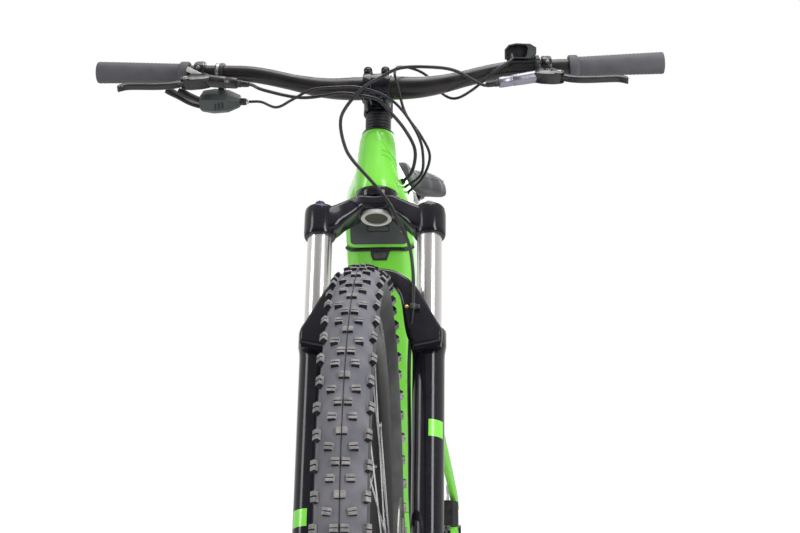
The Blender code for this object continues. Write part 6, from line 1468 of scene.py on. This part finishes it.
def build_post():
    """The seat post and its clamp for the saddle's rails."""
    post = Shape()
    low = POST_TOP - 0.4
    post.turned([(0.0145, low), (0.0154, low + 0.001), (0.0154, POST_TOP - 0.05), (0.0154, POST_TOP - 0.04),
            (0.0152, POST_TOP - 0.02), (0.015, POST_TOP - 0.004)], SEAT, 64)
    head = at(SEAT @ Vector((0, 0, POST_TOP)))
    for low, high, reach in ((-0.0105, -0.0006, 0.029), (0.0006, 0.0105, 0.027)):
        rings = []
        for y, thick in ((-reach, 0.55), (-reach + 0.002, 0.85), (-reach + 0.006, 1.0),
                (reach - 0.006, 1.0), (reach - 0.002, 0.85), (reach, 0.55)):
            centre = (low + high) / 2
            tall = (high - low) / 2 * thick
            rings.append([(x, y, z + centre) for x, z in rounded(0.019, tall, tall * 0.5, 3)])
        post.loft(rings, head)
    post.turned([(0.015, -0.02), (0.016, -0.012), (0.017, -0.009), (0.015, -0.006)], head, 40)
    for y in (0.0215, -0.0215):
        post.turned([(0.004, -0.017), (0.004, -0.012), (0.0026, -0.0115), (0.0026, 0.0115), (0.0046, 0.012),
                (0.0046, 0.015), (0.003, 0.0155)], head @ at((0, y, 0)), 24, 1)
    post.made("seatpost_tube", "seat", GLOSS_BLACK, STEEL, replaces=["seatpost"], slot="gloss_black")


def saddle_half(y):
    """Half width, base, top and side drop of the saddle at a distance behind the clamp."""
    spots = ((-0.121, 0.011, 0.02, 0.036, 0.001), (-0.113, 0.018, 0.02, 0.044, 0.003),
            (-0.085, 0.0208, 0.02, 0.048, 0.004), (-0.04, 0.0225, 0.02, 0.0492, 0.004),
            (0.005, 0.03, 0.02, 0.05, 0.004), (0.045, 0.0475, 0.02, 0.052, 0.006),
            (0.085, 0.065, 0.02, 0.056, 0.008), (0.115, 0.0715, 0.02, 0.058, 0.009),
            (0.135, 0.0675, 0.02, 0.057, 0.006), (0.146, 0.054, 0.02, 0.05, 0.002))
    for a, b in zip(spots, spots[1:]):
        if a[0] <= y <= b[0]:
            t = (y - a[0]) / (b[0] - a[0])
            t = t * t * (3 - 2 * t) * 0.5 + t * 0.5
            return [p + (q - p) * t for p, q in zip(a[1:], b[1:])]
    return list(spots[-1][1:])


def build_saddle():
    """The padded cover, swelled by a short cloth simulation, with its stitches, over a shell and rails."""
    head = at(SEAT @ Vector((0, 0, POST_TOP)))
    pad = Shape()
    rows = 64
    rings = []
    for i in range(rows + 1):
        t = i / rows
        y = -0.1205 + 0.265 * (t - 0.04 * math.sin(2 * math.pi * t))
        half, base, top, drop = saddle_half(y)
        right = [(half * 0.55, base), (half * 0.88, base - drop * 0.55), (half * 0.97, base - drop * 0.35),
                (half, base + 0.002), (half * 0.985, base + (top - base) * 0.38),
                (half * 0.9, base + (top - base) * 0.68), (half * 0.72, base + (top - base) * 0.9),
                (half * 0.45, top - 0.0004), (half * 0.2, top - 0.001)]
        dip = 0.003 * max(0.0, 1 - abs(y - 0.02) / 0.11)
        ring = [*right, (0, top - 0.0015 - dip), *[(-x, z) for x, z in reversed(right)]]
        ring = [(x, z - (dip * 0.5 if abs(x) < half * 0.25 and z > base + 0.01 else 0)) for x, z in ring]
        rings.append([(x, y, z) for x, z in ring])
    pad.loft(rings, head)
    cover = pad.made("saddle_cover", "seat", COVER, replaces=["saddle_pad"], slot="saddle_cover", sharp=70)
    swell(cover)
    smooth = cover.modifiers.new("smooth", "SUBSURF")
    smooth.levels = 1
    smooth.render_levels = 1
    stitches = Shape()
    for side in (1, -1):
        line = []
        for i in range(70):
            y = -0.1 + 0.232 * i / 69
            half, base, top, _ = saddle_half(y)
            line.append(head @ Vector((half * 0.93 * side, y, base + (top - base) * 0.6)))
        for a, b in zip(line[::2], line[1::2]):
            stitches.tube([a, b], 0.0005, 6)
    stitches.made("saddle_stitches", "seat", SHELL_GREY, slot="saddle_cover")
    shell = Shape()
    rings = []
    for i in range(31):
        y = -0.112 + 0.246 * i / 30
        half, base, _, drop = saddle_half(y)
        inner = half * 0.5
        rings.append([(inner, y, base - 0.0004), (-inner, y, base - 0.0004),
                (-half * 0.46, y, base - 0.005), (-half * 0.38, y, base - 0.0072),
                (half * 0.38, y, base - 0.0072), (half * 0.46, y, base - 0.005)])
    shell.loft(rings, head)
    for side in (1, -1):
        x = 0.022 * side
        way = [(0.006 * side, -0.102, 0.0165), (0.01 * side, -0.092, 0.0115),
                (0.0155 * side, -0.078, 0.004), (x, -0.06, 0.0003), (x, -0.045, 0), (x, 0.0, 0),
                (x, 0.05, 0), (x * 1.05, 0.066, 0.0015), (x * 1.12, 0.088, 0.0095),
                (x * 1.16, 0.107, 0.0165)]
        shell.tube(curve(way, 5), 0.0035, 16, head, 1)
    shell.made("saddle_base", "seat", SHELL_BLACK, SILVER, replaces=["saddle_shell"], slot="black_plastic")


def swell(obj):
    """Puffs the pad a little with Blender's cloth under pressure, each point held near its place."""
    before = [v.co.copy() for v in obj.data.vertices]
    cloth = obj.modifiers.new("swell", "CLOTH")
    cloth.settings.use_pressure = True
    cloth.settings.uniform_pressure_force = 3.0
    cloth.settings.effector_weights.gravity = 0
    cloth.settings.quality = 6
    group = obj.vertex_groups.new(name="hold")
    lowest = min(v.z for v in before)
    group.add([i for i, v in enumerate(before) if v.z < lowest + 0.012], 1.0, "REPLACE")
    cloth.settings.vertex_group_mass = "hold"
    cloth.point_cache.frame_start = 1
    cloth.point_cache.frame_end = 14
    scene = bpy.context.scene
    for number in range(1, 15):
        scene.frame_set(number)
    evaluated = obj.evaluated_get(bpy.context.evaluated_depsgraph_get())
    after = [v.co.copy() for v in evaluated.data.vertices]
    obj.modifiers.remove(cloth)
    scene.frame_set(1)
    for vertex, old, new in zip(obj.data.vertices, before, after):
        move = new - old
        cap = 0.0022
        if move.length > cap:
            move *= cap / move.length
        vertex.co = old + move


# Hoses and cables

def route_points(points, step):
    """Points about one step apart on the same smooth curve that the CAD uses."""
    points = [Vector(p) for p in points]
    padded = [2 * points[0] - points[1], *points, 2 * points[-1] - points[-2]]
    route = []
    for a, b, c, d in zip(padded, padded[1:], padded[2:], padded[3:]):
        count = max(1, round((c - b).length / step))
        route += [between(a, b, c, d, i / count) for i in range(count)]
    return [*route, points[-1]]


def cylinder_mouth(side):
    """Two points ahead of a brake cylinder's end, where its hose starts."""
    far = CYLINDER_END[side]
    way = (far - Vector((0.004, -0.0225, 0))).normalized()
    return [handed(side) @ p for p in (far + way * 0.0003, far + way * 0.02)]


def hose(name, points, radius):
    """One hose or cable on its whole route, as a tube that goes back into the bike."""
    route = route_points(points, 0.006)
    line = Shape()
    line.tube(route, radius, 14)
    piece = line.made(f"{name}_line", None, HOSE_BLACK, replaces=[name], slot="black_plastic")
    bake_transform(piece)
    return route


def build_hoses():
    """The four cords, and their boots, ports, tie and clip."""
    upper = [(0.107, -0.35, 1.021), (0.073, -0.356, 1.0255), (0.034, -0.36, 1.024), (0.008, -0.364, 1.011),
            (-0.017, -0.369, 0.995), (-0.04, -0.372, 0.967), (-0.045, -0.378, 0.946),
            (-0.039, -0.388, 0.917), (-0.028, -0.396, 0.896), (0.002, -0.408, 0.861),
            (0.022, -0.414, 0.834), (0.038, -0.422, 0.802)]
    lower = [(0.048, -0.056, -0.094), (0.0528, -0.0605, -0.13), (0.054, -0.0605, -0.16),
            (0.0538, -0.06, -0.182), (0.0505, -0.05, -0.214), (0.048, -0.03, -0.26), (0.048, 0.002, -0.33),
            (0.049, 0.014, -0.41)]
    caliper = caliper_frame(STEER @ at((0.0435, -FORK_OFFSET, -FORK_LENGTH)), -68)
    inlet = [caliper @ Vector((0.0085, -0.023 - lead, 0.004)) for lead in (0.018, 0.0003)]
    lower = [STEER @ Vector(p) for p in lower]
    front = hose("front_brake_hose", [*cylinder_mouth(1), *upper, *lower, *inlet], HOSE_RADIUS)
    rear = [(-0.15, -0.349, 0.999), (-0.1, -0.344, 0.989), (-0.047, -0.352, 0.9925),
            (-0.019, -0.357, 0.988), (0.004, -0.357, 0.982), (0.02, -0.355, 0.9655), (0.0392, -0.35, 0.942),
            (0.0519, -0.342, 0.916), (0.048, -0.33, 0.891), (0.0375, -0.317, 0.88), (0.026, -0.307, 0.873)]
    hose("rear_brake_hose", [*cylinder_mouth(-1), *rear], HOSE_RADIUS)
    barrel = [control_frame(-1) @ Vector((x, *CABLE_EXIT)) for x in (0.0673, 0.084)]
    shift = [(-0.135, -0.335, 0.978), (-0.112, -0.352, 0.985), (-0.085, -0.3555, 0.9975),
            (-0.047, -0.36, 0.9995), (-0.019, -0.3635, 0.9975), (0.0135, -0.362, 0.986),
            (0.036, -0.36, 0.967), (0.0566, -0.352, 0.9345), (0.0626, -0.342, 0.909),
            (0.059, -0.326, 0.885), (0.037, -0.308, 0.871), (0.024, -0.299, 0.864)]
    hose("shift_cable", [*barrel, *shift], CABLE_RADIUS)
    outlet = [control_frame(1) @ (Vector(REMOTE_EXIT) - Vector((0, lead, 0))) for lead in (0, 0.0124)]
    remote = [(0.157, -0.336, 1.02), (0.13, -0.334, 0.998), (0.105, -0.318, 0.989), (0.084, -0.297, 1.003),
            (0.066, -0.295, 1.026), (0.045, -0.31, 1.0335), (0.0285, -0.334, 1.03),
            (0.0258, -0.3475, 1.018), (0.03, -0.3495, 1.002), (0.0393, -0.347, 0.966),
            (0.06, -0.342, 0.935), (0.0715, -0.335, 0.909), (0.062, -0.316, 0.884), (0.0435, -0.302, 0.867),
            (0.028, -0.292, 0.857)]
    hose("remote_cable", [*outlet, *remote], CABLE_RADIUS)
    fittings = Shape()
    for side in (1, -1):
        near, far = cylinder_mouth(side)
        fittings.turned([(0.0052, -0.0005), (0.0052, 0.004), (0.0046, 0.0046), (0.004, 0.013),
                (0.0034, 0.016), (0.0028, 0.0165)], facing(near, far - near), 28)
    fittings.made("hose_boots", "steering", HOSE_BLACK, slot="rubber")
    grommets = Shape()
    for line in (rear, shift, remote):
        a, b = (Vector(p) for p in line[-2:])
        spot = a.lerp(b, 0.42)
        grommets.hoop([(0.0018, -0.004), (0.003, -0.004), (0.004, -0.003), (0.0044, 0.0), (0.0044, 0.006),
                (0.0018, 0.006)], facing(spot, b - a), 28)
    grommets.made("cable_ports", "frame", HOSE_BLACK, slot="rubber")
    ties = Shape()
    place = facing(Vector((-0.02, -0.36, 0.9925)), Vector((0.94, -0.1, -0.2)))
    rings = []
    for x, y in oval(0.0062 * 0.72, 0.0062 * 1.15):
        out = Vector((x, y, 0)).normalized() * 0.0006
        rings.append([Vector((x, y, -0.0013)) - out, Vector((x, y, -0.0013)) + out,
                Vector((x, y, 0.0013)) + out, Vector((x, y, 0.0013)) - out])
    ties.loft(rings, place, closed=True)
    ties.plate([(x + 0.0045, y + 0.0058) for x, y in rounded(0.0022, 0.002, 0.0005, 2)], -0.002, 0.002,
            0.0004, place)
    ties.made("cable_tie", "steering", SHELL_BLACK, slot="black_plastic")
    clip = Shape()
    spot = min(front, key=lambda p: abs((STEER.inverted() @ p).z - (SEAL_TOP + 0.016)))
    here = front.index(spot)
    way = front[here + 1] - front[here - 1]
    clip.hoop(doubled([(0.0027, -0.0035), (0.004, -0.0035), (0.0043, -0.003)]), facing(spot, way), 32)
    clip.plate([(x + 0.0052, y) for x, y in rounded(0.0036, 0.0022, 0.0008, 3)], -0.0025, 0.0025, 0.0005,
            facing(spot, way))
    clip.made("hose_clip", "fork_lowers", SHELL_GREY, slot="grey_plastic")


# Floor, light and camera

def plain(name, colour, rough, near, far):
    """A matt finish for the stage, brightened as the camera sees it, and more so far from the bike."""
    mat = bpy.data.materials.new(name)
    mat.use_nodes = True
    tree = mat.node_tree
    rays = added(tree, "LightPath")
    place = added(tree, "TexCoord")
    away = added(tree, "VectorMath", links={0: place.outputs["Object"]}, operation="LENGTH")
    glow = added(tree, "MapRange", {"From Min": 1.2, "From Max": 7.0, "To Min": near, "To Max": far},
            {"Value": away.outputs["Value"]})
    scale = added(tree, "Math", links={0: rays.outputs["Is Camera Ray"], 1: glow.outputs["Result"]},
            operation="MULTIPLY")
    shader = tree.nodes["Principled BSDF"]
    for socket, value in (("Base Color", (*colour, 1)), ("Roughness", rough), ("Specular IOR Level", 0.0),
            ("Emission Color", (1, 1, 1, 1))):
        shader.inputs[socket].default_value = value
    tree.links.new(scale.outputs[0], shader.inputs["Emission Strength"])
    return mat


def build_stage():
    """The floor, and a world that is white to the camera and shaded in reflections."""
    mesh = bpy.data.meshes.new("floor")
    reach = 30
    mesh.from_pydata([(x, y, 0) for x, y in square(-reach, -reach, reach, reach)], [], [(0, 1, 2, 3)])
    mesh.materials.append(plain("floor_white", (0.86, 0.86, 0.86), 0.9, 0.2, 0.75))
    floor = bpy.data.objects.new("floor", mesh)
    bpy.context.scene.collection.objects.link(floor)
    world = bpy.data.worlds.new("studio")
    bpy.context.scene.world = world
    world.use_nodes = True
    tree = world.node_tree
    back = tree.nodes["Background"]
    back.inputs["Color"].default_value = (1, 1, 1, 1)
    rays = added(tree, "LightPath")
    way = added(tree, "TexCoord")
    lean = added(tree, "VectorMath", {1: (0.0, 0.75, 0.65)}, {0: way.outputs["Generated"]},
            operation="DOT_PRODUCT")
    studio = added(tree, "MapRange", {"From Min": -0.45, "From Max": 0.65, "To Min": 0.1, "To Max": 1.0},
            {"Value": lean.outputs["Value"]})
    mirror = added(tree, "Math", links={0: rays.outputs["Is Glossy Ray"],
            1: rays.outputs["Is Transmission Ray"]}, operation="MAXIMUM")
    shown = added(tree, "Math", links={0: mirror.outputs[0], 1: studio.outputs["Result"]},
            operation="MULTIPLY")
    level = added(tree, "Math", links={0: rays.outputs["Is Camera Ray"], 1: shown.outputs[0]},
            operation="MAXIMUM")
    diffuse = added(tree, "Math", {1: 0.42}, {0: rays.outputs["Is Diffuse Ray"]}, operation="MULTIPLY")
    total = added(tree, "Math", links={0: level.outputs[0], 1: diffuse.outputs[0]}, operation="ADD")
    tree.links.new(total.outputs[0], back.inputs["Strength"])


def lamp(name, place, target, size, power):
    """A rectangular area light that faces its target."""
    light = bpy.data.lights.new(name, "AREA")
    light.shape = "RECTANGLE"
    light.size, light.size_y = size
    light.energy = power
    obj = bpy.data.objects.new(name, light)
    obj.location = place
    obj.rotation_euler = (Vector(target) - Vector(place)).to_track_quat("-Z", "Y").to_euler()
    bpy.context.scene.collection.objects.link(obj)
    return obj


def build_lights():
    """Tall lights on both sides, one above, one behind and a small one close by."""
    lamp("key", (2.2, -2.7, 2.0), (0, -0.2, 0.7), (0.8, 2.4), 60)
    lamp("fill", (-2.8, -1.6, 1.8), (0, -0.2, 0.6), (0.8, 2.4), 36)
    lamp("top", (0.2, -0.2, 3.2), (0, 0, 0.5), (1.6, 2.0), 52)
    lamp("back", (0.5, 3.2, 2.2), (0, 0, 0.6), (2.4, 1.6), 36)
    side = lamp("side", (1.15, -1.0, 1.3), (0.34, -0.3, 1.0), (0.4, 0.4), 7)
    side.visible_glossy = False


def build_camera():
    """At the photograph's viewing angle: low in front, a little to the rider's left."""
    yaw = math.radians(-3.1)
    pitch = math.radians(5.19)
    roll = math.radians(-0.39)
    forward = Vector((math.sin(yaw) * math.cos(pitch), math.cos(yaw) * math.cos(pitch), math.sin(pitch)))
    right = Vector((math.cos(yaw), -math.sin(yaw), 0))
    up = right.cross(forward)
    right, up = (math.cos(roll) * right + math.sin(roll) * up, math.cos(roll) * up - math.sin(roll) * right)
    camera = bpy.data.cameras.new("camera")
    camera.sensor_width = 36
    focal_pixels = 1954
    frame_pixels = 800
    camera.lens = focal_pixels / frame_pixels * camera.sensor_width
    camera.clip_end = 200
    obj = bpy.data.objects.new("camera", camera)
    turn = Matrix((right, up, -forward)).transposed().to_4x4()
    spot = Vector((0.171, -2.931, 0.524))
    obj.matrix_world = Matrix.Translation(spot) @ turn
    bpy.context.scene.collection.objects.link(obj)
    bpy.context.scene.camera = obj
    bpy.context.scene.view_settings.view_transform = "Standard"


def dress_kept():
    """Finishes for the CAD pieces that the scene keeps."""
    for node, finish in (("seat_clamp", ANODISED), ("seat_clamp_lever", ANODISED),
            ("rear_caliper", BRAKE_BLACK), ("front_caliper", BRAKE_BLACK), ("rear_axle", ANODISED),
            ("front_axle", ANODISED), ("battery_pack", SHELL_BLACK)):
        dress(node, finish, 0.0005)


build_stage()
build_lights()
build_camera()
build_hoses()
build_crown()
build_stanchions()
build_dial()
build_lowers()
build_headset()
build_stripes()
build_stem()
build_bar()
build_grips()
build_brakes()
build_controls()
build_wheels()
build_frame_tubes()
build_battery()
build_motor()
build_cassette()
build_cranks()
build_chainring()
build_chain()
build_derailleur()
build_post()
build_saddle()
dress_kept()
